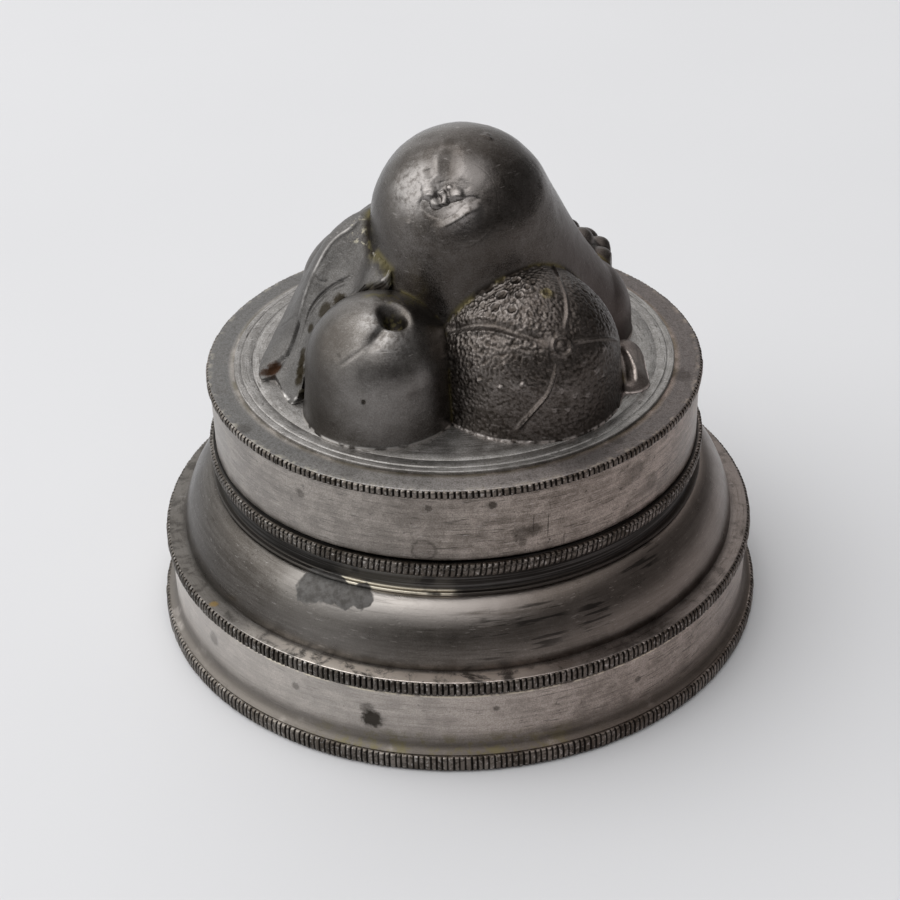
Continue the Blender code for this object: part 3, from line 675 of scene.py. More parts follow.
class Sheet(Casting):
    """A form with a free outline, whose top bends smoothly through some points."""

    def __init__(self, tops, edge, taper, pole):
        super().__init__([(*pole, 0.0, SHEET_GIRTH)], taper, pole)
        self.tops = np.array(tops, float)
        self.edge = np.array(edge, float) - self.pole
        flat = np.column_stack((np.ones(len(tops)), self.tops[:, :2]))
        system = np.block([[self.bend(self.tops[:, :2]), flat], [flat.T, np.zeros((3, 3))]])
        wanted = np.concatenate((self.tops[:, 2] - FRUIT_BASE, np.zeros(3)))
        self.weights = np.linalg.solve(system, wanted)

    def bend(self, spots):
        """Distance terms of a thin bent plate."""
        square = np.sum((spots[:, None] - self.tops[None, :, :2]) ** 2, axis=2)
        return square * np.log(square + TINY)

    def top(self, spots, grow):
        near = np.column_stack((self.bend(spots), np.ones(len(spots)), spots))
        return near @ self.weights + SHEET_SINK * grow

    def reach(self, ways):
        best = np.full(len(ways), 1.0)
        for start, end in zip(self.edge, np.roll(self.edge, -1, axis=0)):
            run = end - start
            across = ways[:, 0] * run[1] - ways[:, 1] * run[0]
            across = np.where(across == 0.0, TINY, across)
            far = (start[0] * run[1] - start[1] * run[0]) / across
            along = (start[0] * ways[:, 1] - start[1] * ways[:, 0]) / across
            best = np.where((along >= 0.0) & (along <= 1.0) & (far > best), far, best)
        return best

    def edges(self, ways, grow, bottom):
        edge = self.reach(ways)
        for slew in SLEWS if grow < 0.0 else ():
            near = ways + slew * np.stack((-ways[:, 1], ways[:, 0]), -1)
            edge = np.minimum(edge, self.reach(near / np.linalg.norm(near, axis=1)[:, None]))
        edge = edge + grow
        drop = self.top(self.pole + ways * edge[:, None], grow) - bottom
        return edge, edge + np.clip(drop, 0.0, None) * self.taper

    def clearance(self, points):
        offset = points[:, :2] - self.pole
        far = np.linalg.norm(offset, axis=1) + TINY
        beside = far - self.reach(offset / far[:, None])
        over = (points[:, 2] - FRUIT_BASE - self.top(points[:, :2], 0.0)) * SHEET_SLOPE
        return np.maximum(beside, over)


print("bent sheet ready")

# %% Points of the leaf
SPINE = ((-30.2, 0.1, 109.7), (-33.5, -0.9, 105.7), (-36.3, -3.1, 101.0), (-38.7, -5.1, 95.7),
         (-40.3, -6.6, 90.5))
GUTTER = ((-26.2, -8.0, 102.4), (-30.0, -7.2, 100.6), (-33.8, -7.0, 97.6), (-37.1, -8.0, 93.8),
          (-38.8, -9.2, 89.9), (-40.4, -11.6, 85.3), (-41.8, -14.0, 81.8))
LEAF_TOPS = (
    *SPINE, *GUTTER, (-14, 5, 117), (-12, -6, 111.5), (-22.2, 3.9, 115.7), (-25.9, -0.4, 112.8),
    (-41.8, -8.2, 86), (-44, -10.7, 81.6), (-50.6, -13, 77.2), (-24, 9, 112.4), (-33, 8, 105.6),
    (-40, 4.5, 94.4), (-45.5, -1, 84.5), (-49.5, -6.5, 79.5), (-21.2, -7, 109), (-28, -3, 107),
    (-31.5, -4, 102.6), (-15.6, -17.8, 109.2), (-18.9, -13, 111), (-16.3, -18.2, 107.6),
    (-19.6, -17.4, 105.8), (-22.9, -15.4, 103.4), (-24.4, -13.4, 101.4), (-43.4, -18, 78.6),
    (-26.8, -11.8, 99.2), (-29.9, -12.5, 96.9), (-33.2, -14, 93.8), (-35.3, -16, 90.4),
    (-36.9, -18, 87), (-38.6, -21, 82.4), (-41, -25, 77.4))
LEAF_EDGE = (
    (-13, -14), (-14.9, -17.6), (-15.6, -18.9), (-17.5, -18.9), (-19.8, -17.8), (-23, -15.8),
    (-25, -13.8), (-27.2, -13.1), (-29.9, -13.8), (-33, -15.2), (-35.2, -17.2), (-37, -19.8),
    (-38.6, -22.6), (-40.3, -25.8), (-42.4, -26.6), (-44.4, -23), (-45.8, -18), (-47.2, -14.8),
    (-51, -14.6), (-51.9, -11.5), (-51.2, -6), (-48.2, 1.5), (-43, 7.5), (-34, 12), (-22, 14),
    (-8, 10), (-5, 0), (-8, -8))
print("leaf bends through", len(LEAF_TOPS), "points")

# %% Forms
BERRY, BERRY_SUNK = 3.9, 2.4
MOUND = (29.16, 25.35, 7.0, 15.4)
BERRIES = []
for count, radius, turned_by in ((1, 0.0, 0.0), (6, 6.6, 0.0), (12, 12.2, 0.5)):
    for x, y, _ in around(radius, 2.0 * math.pi * (np.arange(count) + turned_by) / count):
        rise = math.sqrt(MOUND[3] ** 2 - x * x - y * y) - BERRY_SUNK
        BERRIES.append((MOUND[0] + x, MOUND[1] + y, MOUND[2] + rise, BERRY))

PEAR = Casting(chain((3.2, -2.0, 40.6, 24.0), (32.0, 10.0, 4.6, 17.0), 1.28, 40), 2.0,
               crowd=(17.0, 0.55))
APPLE = Casting([(-19.04, -28.77, 12.6, 18.8)], 5.0, pole=(-14.7, -34.4), dimple=(6.0, 3.0))
MELON = Casting([(18.87, -22.9, 10.6, 23.8)], 5.0)
LEAF = Sheet(LEAF_TOPS, LEAF_EDGE, 3.0, (-34.0, -6.0))
PEACH = Casting([(-23.66, 26.28, 5.0, 18.6)], 5.0, dimple=(2.2, 4.4))
PLUM = Casting([(2.06, 39.28, 6.5, 14.5)], 5.0)
GRAPES = Casting([MOUND], 3.0, bumps=BERRIES)
SIDE_LEAF = Casting(chain((45.2, -6.4, -1.3, 5.6), (45.4, -19.8, -1.4, 5.7), 1.0, 12), 8.0,
                    pole=(45.4, -13.1))
print("berries:", len(BERRIES))

# %% [markdown]
# ## The hollow
# The castings are shells, and their hollows join into one, which opens through the plate. It
# only shows when the cover is lifted and seen from below. Each form is shrunk by the thickness of
# the metal, the shrunk forms are joined, and the result is taken out of the plate and out of
# every fruit with a Boolean, whose Manifold solver is quick on closed meshes.

# %% Booleans
HOLLOW_SIZE = 1.6


def boolean(target, tool, operation):
    """Apply one Boolean to a target's mesh."""
    modifier = target.modifiers.new(operation, "BOOLEAN")
    modifier.operation = operation
    modifier.solver = "MANIFOLD"
    modifier.object = tool
    shape = target.evaluated_get(bpy.context.evaluated_depsgraph_get())
    mesh = bpy.data.meshes.new_from_object(shape)
    target.modifiers.clear()
    old, target.data = target.data, mesh
    mesh.name = target.name
    bpy.data.meshes.remove(old)


hollow, *others = [casting_mesh("hollow", form.skin(HOLLOW_SIZE, -WALL, -CUT_DEPTH))
                   for form in (PEAR, APPLE, MELON, LEAF, PEACH, GRAPES, PLUM)]
for other in others:
    boolean(hollow, other, "UNION")
    bpy.data.objects.remove(other, do_unlink=True)
boolean(plate, hollow, "DIFFERENCE")
print("hollow:", len(hollow.data.polygons), "faces")

# %% [markdown]
# ## Marks on the skin
# A mark is a line traced over the fruit, or a single point, with a width and a height. Where the
# height is below zero, the mark is cut in. Points near the line move most, and the ends fade.
# Every casting gets a row of such marks and some soft waves, and on the fruit solder fills the
# corners.

# %% Marks
FILLET_WIDTH, FILLET = 1.1, 0.55
FOOT_FILLET_WIDTH, FOOT_FILLET = 0.6, 0.35
FADE = 0.15                 # the share of a line in which each end fades


def rounded(path):
    """Cut the corners of a line of points twice, so that it bends smoothly."""
    for _ in range(2 if len(path) > 2 else 0):
        early, late = path[:-1] * 0.75 + path[1:] * 0.25, path[:-1] * 0.25 + path[1:] * 0.75
        path = np.vstack((path[:1], np.stack((early, late), 1).reshape(-1, 3), path[-1:]))
    return path


def nearest(points, path):
    """Distance of each point from a line of points, and its place along it from 0 to 1."""
    path = rounded(np.array(path, float).reshape(-1, 3))
    if len(path) == 1:
        return np.linalg.norm(points - path[0], axis=1), np.full(len(points), 0.5)
    lengths = run_along(path)
    best, place = np.full(len(points), FAR_AWAY), np.zeros(len(points))
    for index, (start, end) in enumerate(zip(path, path[1:])):
        run = end - start
        t = np.clip((points - start) @ run / (run @ run), 0.0, 1.0)
        away = np.linalg.norm(points - start - t[:, None] * run, axis=1)
        closer = away < best
        best = np.where(closer, away, best)
        here = (lengths[index] + t * (lengths[index + 1] - lengths[index])) / lengths[-1]
        place = np.where(closer, here, place)
    return best, place


def marks(points, rows):
    """Heights of raised or cut lines and points: (path, width, height, fade) each."""
    heights = np.zeros(len(points))
    for path, width, height, *fade in rows:
        away, place = nearest(points, path)
        ends = np.clip(np.minimum(place, 1.0 - place) / (fade[0] if fade else FADE), 0.0, 1.0)
        heights += height * ends * np.exp(-(away / width) ** 2)
    return heights


def waves(points, rows):
    """Heights of soft waves: (height, size) each."""
    return sum(height * soft_noise(points, size) for height, size in rows)


def smooth(values, low, high):
    """0 below low, 1 above high, and a soft step in between."""
    t = np.clip((values - low) / (high - low), 0.0, 1.0)
    return t * t * (3.0 - 2.0 * t)


def fillets(points, neighbours):
    """Heights that fill the corner where a form meets its neighbours and the plate."""
    above = np.clip(points[:, 2] - FRUIT_BASE, 0.0, None)
    heights = FOOT_FILLET * np.exp(-above / FOOT_FILLET_WIDTH)
    for form in neighbours:
        heights += FILLET * np.exp(-(np.clip(form.clearance(points), 0, None) / FILLET_WIDTH))
    return heights


def cast(name, node, form, size, rows, swell, joins=None, lift=0.0, more=None):
    """One casting: marks, waves, a lift of the whole skin, what more adds, the hollow."""
    skin = form.skin(size)
    points = skin.reshape(-1, 3)
    heights = marks(points, rows) + waves(points, swell) + lift
    if more:
        heights += more(points)
    if joins is not None:
        heights += fillets(points, joins)
    piece = casting_mesh(name, skin, heights)
    if node != "side_leaf":
        boolean(piece, hollow, "DIFFERENCE")
        shade(piece.data)
    settle(piece, "fruit_cover", node)
    return piece


print("solder in the corners:", FILLET, "mm high")

# %% [markdown]
# ## Pear
# The pear lies with its round end up and towards the viewer. Around the dried flower its end is
# drawn in to a shallow basin, with a furrow up over the top and a pinched fold below. The flower
# itself is a knot of small lumps.

# %% Lines of the pear
FLOWER = (-1.6, -19.8, 130.6)
FURROW = ((0.6, -17.8, 133.7), (0.2, -15.1, 135.7), (0.8, -11.5, 137.8), (1.1, -8.2, 139.0))
RIDGE = ((-3.1, -16.9, 133.6), (-2.8, -13.7, 135.9), (-3.2, -9.8, 137.6))
SMUDGE = ((-5.3, -13.6, 134.9), (-4.8, -16.2, 133.5))
FOLD = ((-3.9, -23.6, 122.5), (-1.2, -23.8, 124.2), (1.6, -23.6, 125.6), (4.0, -22.9, 127.1),
        (8.0, -21.7, 128.3))
FOLD_CREASE = ((-2.6, -23.1, 125.6), (-1.1, -22.9, 127.0), (0.9, -22.7, 127.9),
               (2.6, -21.8, 129.6), (5.3, -21.3, 130.2), (7.6, -21.0, 129.9))
FOLD_FACE = ((-2.9, -23.5, 123.9), (0.0, -23.4, 125.8), (3.0, -22.7, 127.7), (6.6, -21.8, 128.9))
UNDER = ((-7.2, -18.6, 129.5), (-6.2, -19.9, 128.4), (-4.8, -21.2, 127.4), (-2.8, -22.2, 126.9),
         (-0.6, -22.4, 127.6), (1.7, -21.6, 129.3), (2.9, -20.9, 130.5))
BASIN_RIM = ((-2.9, -18.4, 132.2), (-1.4, -17.8, 133.2), (1.3, -18.0, 133.5), (3.7, -18.9, 132.8),
             (4.2, -20.1, 131.4))
PIT, SLOT = (-8.0, -16.4, 131.3), ((-3.1, -19.2, 131.2), (-3.3, -20.1, 130.0))
PEAR_SHAPE = ((FLOWER, 6.5, -0.7), (FLOWER, 4.0, -0.6), (FURROW, 2.2, -0.7, 0.3),
              (RIDGE, 1.1, 0.35, 0.3), (SMUDGE, 1.4, -0.4), ((-7.5, -15.8, 133.2), 5.0, 0.35),
              ((6.0, -16.0, 134.0), 4.5, 0.35), (FOLD, 2.2, 0.5, 0.25))
PEAR_WAVES = ((0.18, 11.0), (0.03, 1.6))
PEAR_SHRUNK = -0.22         # takes the skin in, because the marks and waves stand proud
KNOT = (((-4.9, -18.6, 130.8), 2.0, 0.85), ((-3.9, -20.9, 128.5), 1.5, 0.8),
        (((-2.4, -18.9, 131.8), (-1.2, -20.3, 130.4), (-1.6, -21.5, 128.6)), 1.0, 0.8),
        ((1.5, -20.2, 130.9), 1.9, 0.95), ((-0.2, -18.8, 132.4), 0.9, 0.6),
        (((-7.1, -17.5, 130.9), (-6.1, -17.1, 132.0), (-3.6, -17.0, 133.2)), 0.7, 0.4),
        (PIT, 1.1, -0.8), (UNDER, 1.1, -0.9), (SLOT, 0.45, -0.4), (BASIN_RIM, 1.3, -0.3))
PIMPLES = ((9.9, -3.3, 139.0), (10.3, -4.6, 138.6), (9.0, -4.4, 139.0), (10.4, -9.0, 136.9),
           (-10.3, -20.1, 123.2))
PATCH_SIZE, PATCH_STEP = 12.0, 0.21     # the finer patch around the flower
PATCH_CENTRE = (0.6, -21.0, 129.0)
BED_DEPTH, BED_START, BED_END = 0.2, 1.6, 0.6   # the skin sinks under the patch
print("marks on the pear:", len(PEAR_SHAPE) + len(KNOT) + len(PIMPLES))


# %% Pear
def under_patch(points):
    """Sink the skin a little where the finer patch lies on it."""
    under = np.linalg.norm(points - PATCH_CENTRE, axis=1)
    edge = smooth(under, PATCH_SIZE - BED_START, PATCH_SIZE - BED_END)
    return PEAR_SHRUNK - BED_DEPTH * (1.0 - edge)


pear = cast("pear_casting", "pear", PEAR, 0.5,
            (*PEAR_SHAPE, *((spot, 0.7, 0.5) for spot in PIMPLES)), PEAR_WAVES,
            (MELON, LEAF, APPLE), more=under_patch)

# %% [markdown]
# The flower's lumps are too small for the spacing of the pear's own skin. A finer grid for the
# whole pear would be slow, so one finer patch lies on it, like a lens, and dips into it at its
# edge. It repeats the pear's soft shapes and adds the knot, the crease and pocked skin.

# %% Finer patch around the flower
PATCH_PROUD, PATCH_DIP, PATCH_EDGE, PATCH_DEPTH = 0.01, 0.04, 0.8, 1.7
STEEP = 0.55                # lumps higher than this have steep sides


def patch_heights(points):
    """The pear's shape, with the flower's lumps, the fold and the pocked skin around them."""
    heights = marks(points, (*PEAR_SHAPE, (FOLD, 1.0, 0.55, 0.25), (FOLD_CREASE, 0.6, -0.65, 0.2)))
    for path, width, height in KNOT:
        away, place = nearest(points, path)
        ends = smooth(0.5 - abs(place - 0.5), -0.01, FADE)
        heights += height * np.exp(-(away / width) ** (4 if height > STEEP else 2)) * ends
    rough = np.exp(-(np.linalg.norm(points - FLOWER, axis=1) / 6.0) ** 2)
    heights = heights + PEAR_SHRUNK + waves(points, PEAR_WAVES)
    return heights + 0.10 * rough * soft_noise(points, 0.9)


def unit(vector):
    """A direction of length one."""
    return vector / np.linalg.norm(vector)


ball, girth = PEAR.balls[0, :3] + (0.0, 0.0, FRUIT_BASE), PEAR.balls[0, 3]
out = unit(np.array(PATCH_CENTRE) - ball)
side = unit(np.cross((0.0, 0.0, 1.0), out))
over = np.cross(out, side)
spokes = round(2.0 * math.pi * PATCH_SIZE / (2.0 * PATCH_STEP))
turns = 2.0 * math.pi * np.arange(spokes) / spokes
rings = np.linspace(0.0, PATCH_SIZE / girth, round(PATCH_SIZE / PATCH_STEP))
ways = (np.cos(rings)[:, None, None] * out + np.sin(rings)[:, None, None]
        * (np.cos(turns)[None, :, None] * side + np.sin(turns)[None, :, None] * over))
cap = ball + girth * ways
rise = patch_heights(cap.reshape(-1, 3)).reshape(cap.shape[:2])
edge = smooth(rings * girth, PATCH_SIZE - PATCH_EDGE, PATCH_SIZE)[:, None]
rise += PATCH_PROUD - PATCH_DIP * edge
cap = cap + ways * rise[:, :, None]
low = ball + (girth - PATCH_DEPTH) * ways[-1]
points = np.vstack((cap[0, :1], cap[1:].reshape(-1, 3), low,
                    ball + (girth - PATCH_DEPTH) * out))
faces = [(0, 1 + (k + 1) % spokes, 1 + k) for k in range(spokes)]
faces += [tuple(v + 1 for v in face)[::-1] for face in grid_faces(len(rings), spokes, False)]
last = 1 + (len(rings) - 1) * spokes
faces += [(len(points) - 1, last + k, last + (k + 1) % spokes) for k in range(spokes)]
flower = piece_from("pear_flower", points, faces)
settle(flower, "fruit_cover")

# %% [markdown]
# ## Apple
# A plain smooth apple with a deep stem hole. A crease runs from the hole down to the left, and
# the flesh swells on both sides of it.

# %% Apple
CREASE = ((-15.2, -36.6, 104.6), (-17.3, -39.0, 103.7), (-19.5, -41.4, 102.0),
          (-22.2, -42.3, 100.4), (-25.8, -43.1, 98.1), (-29.4, -42.6, 94.8))
apple = cast("apple_casting", "apple", APPLE, 0.5, (
    (CREASE[:4], 1.5, -1.1, 0.35), (CREASE[2:], 0.4, -0.3, 0.25),
    ((-19.3, -36.0, 105.0), 3.4, 0.45), ((-14.6, -41.0, 102.2), 3.6, 0.40),
    ((-12.2, -33.2, 105.2), 2.2, 0.35), ((-22.5, -47.1, 88.4), 0.42, -0.8),
    ((-28.5, -41.4, 98.0), 0.6, -0.3), ((-29.0, -38.5, 101.0), 4.0, -0.35)),
    ((0.16, 10.0), (0.02, 1.4)), (PEAR, MELON))

# %% [markdown]
# ## Melon
# The netted melon shows its flower end as a small ring, and four lines go out from it. The skin
# is not the same all over: rings and pebbles above, worm marks on the left, and a fairly smooth
# leathery skin below, with a few raised spots on the right.

# %% Melon lines
HUB = np.array((26.6, -41.2, 99.4))
RIB_UP = ((27.4, -38.4, 102.0), (27.9, -36.4, 103.6), (28.4, -33.8, 105.0), (28.1, -29.4, 107.1),
          (26.8, -22.7, 108.6), (26.1, -17.8, 108.4), (24.5, -10.0, 105.5))
RIB_RIGHT = ((29.3, -39.8, 99.4), (34.5, -36.0, 98.2), (38.9, -31.5, 95.7), (41.4, -27.1, 92.3))
RIB_DOWN = ((25.2, -43.6, 96.0), (24.6, -44.7, 93.3), (23.1, -46.0, 88.9), (20.1, -46.7, 85.4),
            (17.1, -47.0, 81.6), (14.6, -46.9, 78.1))
BROAD = ((23.3, -41.3, 100.4), (19.4, -40.7, 101.9), (15.5, -39.6, 102.8), (10.7, -37.1, 103.5),
         (5.9, -34.4, 102.4), (0.9, -30.8, 99.6), (-1.6, -27.9, 96.9))
BROAD_LIP = ((18.4, -41.8, 101.2), (14.5, -40.6, 101.9), (10.3, -38.4, 102.2),
             (5.5, -35.8, 101.2), (0.9, -32.2, 98.6))
DOTTED = ((19.0, -33.6, 107.4), (19.6, -36.5, 105.7), (19.2, -39.4, 103.4))
CRATERS = (((9.1, -26.2, 107.6), 1.5), ((12.2, -30.0, 107.9), 1.6), ((10.4, -32.8, 106.2), 1.5),
           ((14.5, -34.6, 106.4), 1.4), ((16.4, -31.2, 108.4), 1.2), ((23.4, -30.4, 108.4), 1.3),
           ((15.9, -26.1, 109.7), 1.5), ((12.4, -25.2, 109.0), 1.2), ((6.6, -28.6, 106.0), 1.2),
           ((18.5, -29.0, 109.4), 1.0))
SPOTS = (((35.4, -39.3, 90.9), 0.9), ((37.1, -37.7, 88.7), 0.8), ((26.3, -45.2, 89.2), 0.8),
         ((29.7, -44.0, 86.9), 0.8), ((27.9, -45.1, 83.6), 0.9), ((24.5, -46.2, 84.0), 0.7),
         ((33.0, -42.0, 85.5), 0.7), ((37.4, -35.1, 94.7), 0.9), ((31.8, -40.5, 94.0), 0.6),
         ((14.7, -45.8, 90.8), 1.0))
CRUMBS = ((6.2, -42.4, 90.7), (11.3, -44.9, 90.4), (16.7, -45.9, 91.4), (12.4, -43.6, 95.8))
MELON_MIDDLE = 86.3         # height of the middle of the ball
UPPER_START, UPPER_FADE, UPPER_END = (-88.0, -76.0), (-14.0, 4.0), (60.0, 85.0)     # degrees
LEFT_START, LEFT_END = (-165.0, -118.0), (-88.0, -80.0)
PEBBLE, PEBBLE_HALF, RING, WORM, LEATHER = 0.85, 0.42, 2.7, 1.1, 0.7    # sizes of the relief
NET_HEIGHT, LOBE_HEIGHT, NET_LIMIT, HUB_RING = 0.20, 0.4, 1.5, 2.4
print("craters and spots:", len(CRATERS) + len(SPOTS))


# %% Melon skin
def around_hub(points):
    """Angle round the melon's flower end, in degrees from the top, and distance from it."""
    axis = unit(HUB - (*MELON.pole, MELON_MIDDLE))
    above = unit(np.array((0.0, 0.0, 1.0)) - axis * axis[2])
    offset = points - HUB
    angle = np.degrees(np.arctan2(offset @ np.cross(above, axis), offset @ above))
    return angle, np.linalg.norm(offset, axis=1)


def cell_distance(points, size):
    """Distance to the nearest of a scatter of points, in cells of one size."""
    return np.array([noise.voronoi(Vector(p))[0][0] for p in points / size])


def hump(values, width):
    """1 where a value is nought, falling off to both sides."""
    return np.exp(-(values / width) ** 2)


def melon_net(points):
    """The relief of the skin, from about -1 in its pits to 1 on its crests."""
    angle, away = around_hub(points)
    upper = smooth(angle, *UPPER_START) * (1.0 - 0.75 * smooth(angle, *UPPER_FADE))
    upper = upper * (1.0 - smooth(angle, *UPPER_END)) * smooth(away, 3.0, 7.0)
    left = smooth(angle, *LEFT_START) * (1.0 - smooth(angle, *LEFT_END))
    left = left * smooth(away, 5.0, 11.0)
    pebbles = 1.0 - (cell_distance(points, PEBBLE) / PEBBLE_HALF) ** 2
    far = cell_distance(points, RING)
    rings = hump(far - 0.40, 0.10) - hump(far, 0.24)
    worms = 1.0 - 3.2 * np.abs(soft_noise(points, WORM))
    relief = upper * (0.45 * pebbles + 0.6 * rings) + left * (0.35 * pebbles + 0.5 * worms)
    leather = 0.28 * pebbles + 0.32 * soft_noise(points, LEATHER)
    relief += (1.0 - np.maximum(upper, left)) * leather
    for line in (RIB_UP, RIB_RIGHT, RIB_DOWN, BROAD):
        relief *= 0.25 + 0.75 * smooth(nearest(points, line)[0], 0.6, 1.5)
    for centre, radius in CRATERS:
        gap = np.linalg.norm(points - centre, axis=1) / radius
        relief += 1.5 * hump(gap - 1.0, 0.22) - 1.8 * hump(gap, 0.65)
    for centre, radius in SPOTS:
        gap = np.linalg.norm(points - centre, axis=1) / radius
        relief += 1.6 * hump(gap, 1.0) - 1.1 * hump(gap, 0.35)
    return np.clip(relief, -NET_LIMIT, NET_LIMIT)


def melon_skin(points):
    """The net, the four broad lobes, a dotted line and the ring of the flower end."""
    angle, away = around_hub(points)
    lobes = LOBE_HEIGHT * smooth(away, 4.0, 16.0) * np.cos(np.radians(angle * 2.0 - 10.0)) ** 2
    dots = marks(points, ((DOTTED, 0.5, 0.4),)) * (0.5 + 0.5 * np.sin(points[:, 1] * 5.5))
    return (NET_HEIGHT * melon_net(points) + lobes + dots
            + 0.5 * hump(away - HUB_RING, 0.35) + 0.4 * hump(away, 0.7) - 0.3)


melon = cast("melon_casting", "melon", MELON, 0.3, (
    *((spot, 0.6, 0.8) for spot in CRUMBS), (RIB_UP, 0.42, 1.0), (RIB_RIGHT, 0.4, 0.9),
    (RIB_DOWN, 0.45, 1.4), *((rib, 1.6, -0.3) for rib in (RIB_UP, RIB_RIGHT, RIB_DOWN)),
    (BROAD, 1.3, -1.0, 0.1), (BROAD_LIP, 0.5, 0.5)),
    ((0.12, 9.0),), (PEAR, APPLE, SIDE_LEAF), more=melon_skin)

# %% [markdown]
# ## Leaves
# The draped leaf hangs from the pear to the plate. Its midrib is a fine raised line, its veins
# are engraved, and where it meets the pear and the apple the metal is ragged, because slush and
# solder ran into the joint. The small leaf beside the melon is a low bar with a raised edge and a
# trough inside it.

# %% Draped leaf
MIDRIB = ((-22.2, 3.9, 115.7), (-23.7, 0.7, 114.4), (-25.9, -0.6, 112.8), *SPINE,
          (-41.1, -7.4, 88.6))
SLIT = ((-40.6, -7.1, 89.4), (-41.8, -8.2, 86.0), (-44.0, -10.7, 82.0), (-45.1, -11.9, 80.0))
VEIN = ((-24.6, -7.6, 103.4), *GUTTER, (-43.0, -17.0, 79.4))
SIDE_VEINS = (((-30.6, 0.6, 109.0), (-29.0, -3.0, 106.5), (-26.5, -6.0, 104.5)),
              ((-36.3, -3.1, 101.0), (-34.5, -5.0, 99.5), (-32.5, -6.0, 100.0)),
              ((-30.2, 1.0, 109.9), (-33.5, 5.5, 105.0), (-34.5, 9.0, 100.0)),
              ((-36.4, -2.0, 101.2), (-40.0, 2.0, 95.0), (-41.5, 6.0, 89.0)),
              ((-40.4, -6.0, 90.5), (-44.5, -2.5, 86.5), (-46.5, 1.0, 82.5)))
LOBE_RIM = ((-21.4, -7.6, 109.6), (-18.9, -12.6, 110.8), (-16.4, -16.2, 110.2),
            (-15.4, -18.0, 108.8), (-16.4, -18.6, 107.4), (-19.6, -17.7, 105.7))


def ragged_joint(points):
    """Ragged metal where the leaf meets the apple and the pear."""
    near = 0.0
    for form, gap, width, height in ((APPLE, 0.4, 1.6, 0.9), (PEAR, 0.3, 1.2, 0.7)):
        near = near + height * hump(np.clip(form.clearance(points) - gap, 0.0, None), width)
    return near * soft_noise(points, 1.7, 3)


draped = cast("draped_leaf_casting", "draped_leaf", LEAF, 0.42, (
    (MIDRIB, 0.6, 0.35, 0.08), (SLIT, 0.6, -1.3), (VEIN, 0.36, -0.45),
    (np.add(VEIN, (0.0, -0.9, -0.6)), 0.5, 0.3), (LOBE_RIM, 0.5, 0.3, 0.08),
    *((vein, 0.4, -0.2) for vein in SIDE_VEINS), *((vein, 1.6, 0.15) for vein in SIDE_VEINS),
    ((-47.1, -3.0, 83.0), 0.7, -0.6), ((-50.2, -12.0, 77.6), 1.2, -0.9),
    ((-48.6, -13.0, 78.2), 1.4, -1.4), ((-46.9, -12.2, 79.4), 1.3, -1.5),
    ((-45.6, -11.4, 80.6), 0.9, -1.0), ((-28.6, -12.6, 97.6), 1.3, -1.6),
    ((-33.0, -14.6, 93.8), 1.2, -1.6), ((-35.6, -17.0, 90.0), 0.9, -1.4)),
    ((0.12, 5.0), (0.04, 0.9)), more=ragged_joint)

# %% Side leaf
EDGE_LINE = ((44.8, -9.6, 80.4), (45.8, -11.4, 80.4), (46.4, -14.0, 80.3), (46.8, -18.0, 80.2),
             (47.0, -21.8, 79.8), (47.1, -24.2, 78.6), (46.7, -25.4, 77.1))
TROUGH = ((43.6, -7.0, 79.6), (44.0, -10.4, 79.8), (44.4, -13.6, 79.9), (44.5, -17.4, 79.9),
          (44.5, -21.4, 79.5), (44.4, -24.6, 77.6))
side_leaf = cast("side_leaf_casting", "side_leaf", SIDE_LEAF, 0.28, (
    (EDGE_LINE, 0.6, 0.7), (TROUGH, 1.0, -0.9, 0.1),
    (((49.2, -5.0, 78.6), (49.6, -16.0, 78.4)), 0.5, -0.25)),
    ((0.15, 5.0), (0.05, 1.1)), lift=-0.1)

# %% [markdown]
# ## Fruit at the back
# The picture does not show the back, apart from a dark edge of the grapes. A peach, a plum and a
# bunch of grapes fill the ring there, which is what such a cover carries. The peach and the plum
# have the seam of their kind.

# %% Peach, plum and grapes
PEACH_SEAM = ((-23.7, 26.3, 98.0), (-27.0, 29.5, 97.8), (-32.0, 34.5, 94.0), (-36.0, 38.0, 86.0),
              (-37.6, 39.6, 78.0))
PLUM_SEAM = ((-5.0, 36.0, 93.0), (0.5, 40.0, 96.4), (5.5, 44.5, 94.4), (9.0, 48.5, 87.0),
             (10.0, 50.0, 79.0))
peach = cast("peach_casting", "peach", PEACH, 0.6, ((PEACH_SEAM, 1.5, -0.8, 0.1),),
             ((0.2, 9.0),), (PEAR, PLUM, LEAF), -0.1)
plum = cast("plum_casting", "plum", PLUM, 0.6, ((PLUM_SEAM, 1.0, -0.55, 0.2),),
            ((0.15, 8.0),), (PEAR, PEACH, GRAPES), -0.1)
grapes = cast("grape_casting", "grapes", GRAPES, 0.5, (), ((0.12, 4.0),), (PEAR, PLUM),
              -0.06)
bpy.data.objects.remove(hollow, do_unlink=True)

# %% [markdown]
# ## Where dirt and painted shade lie and where hands wear the metal bright
# Old pewter is darkest in its corners and lightest where hands wear it bright, and here the
# corners and grooves are also painted darker as shade. Both come from the shape: the distance to
# the neighbouring forms says how deep in a corner a point is, and the same marks that raised a rib
# or cut a groove say where it is worn bright or darkened with dirt and painted shade. The values
# are kept on the mesh, one for each point, and the finishes read them.

# %% Values on the fruit
CORNER_GAP, SPREAD, LEAF_SPREAD, FOOT_SPREAD = 0.2, 1.3, 2.6, 0.7


def points_of(piece):
    """The mesh's points in millimetres."""
    flat = np.empty(len(piece.data.vertices) * 3)
    piece.data.vertices.foreach_get("co", flat)
    return flat.reshape(-1, 3) / MM


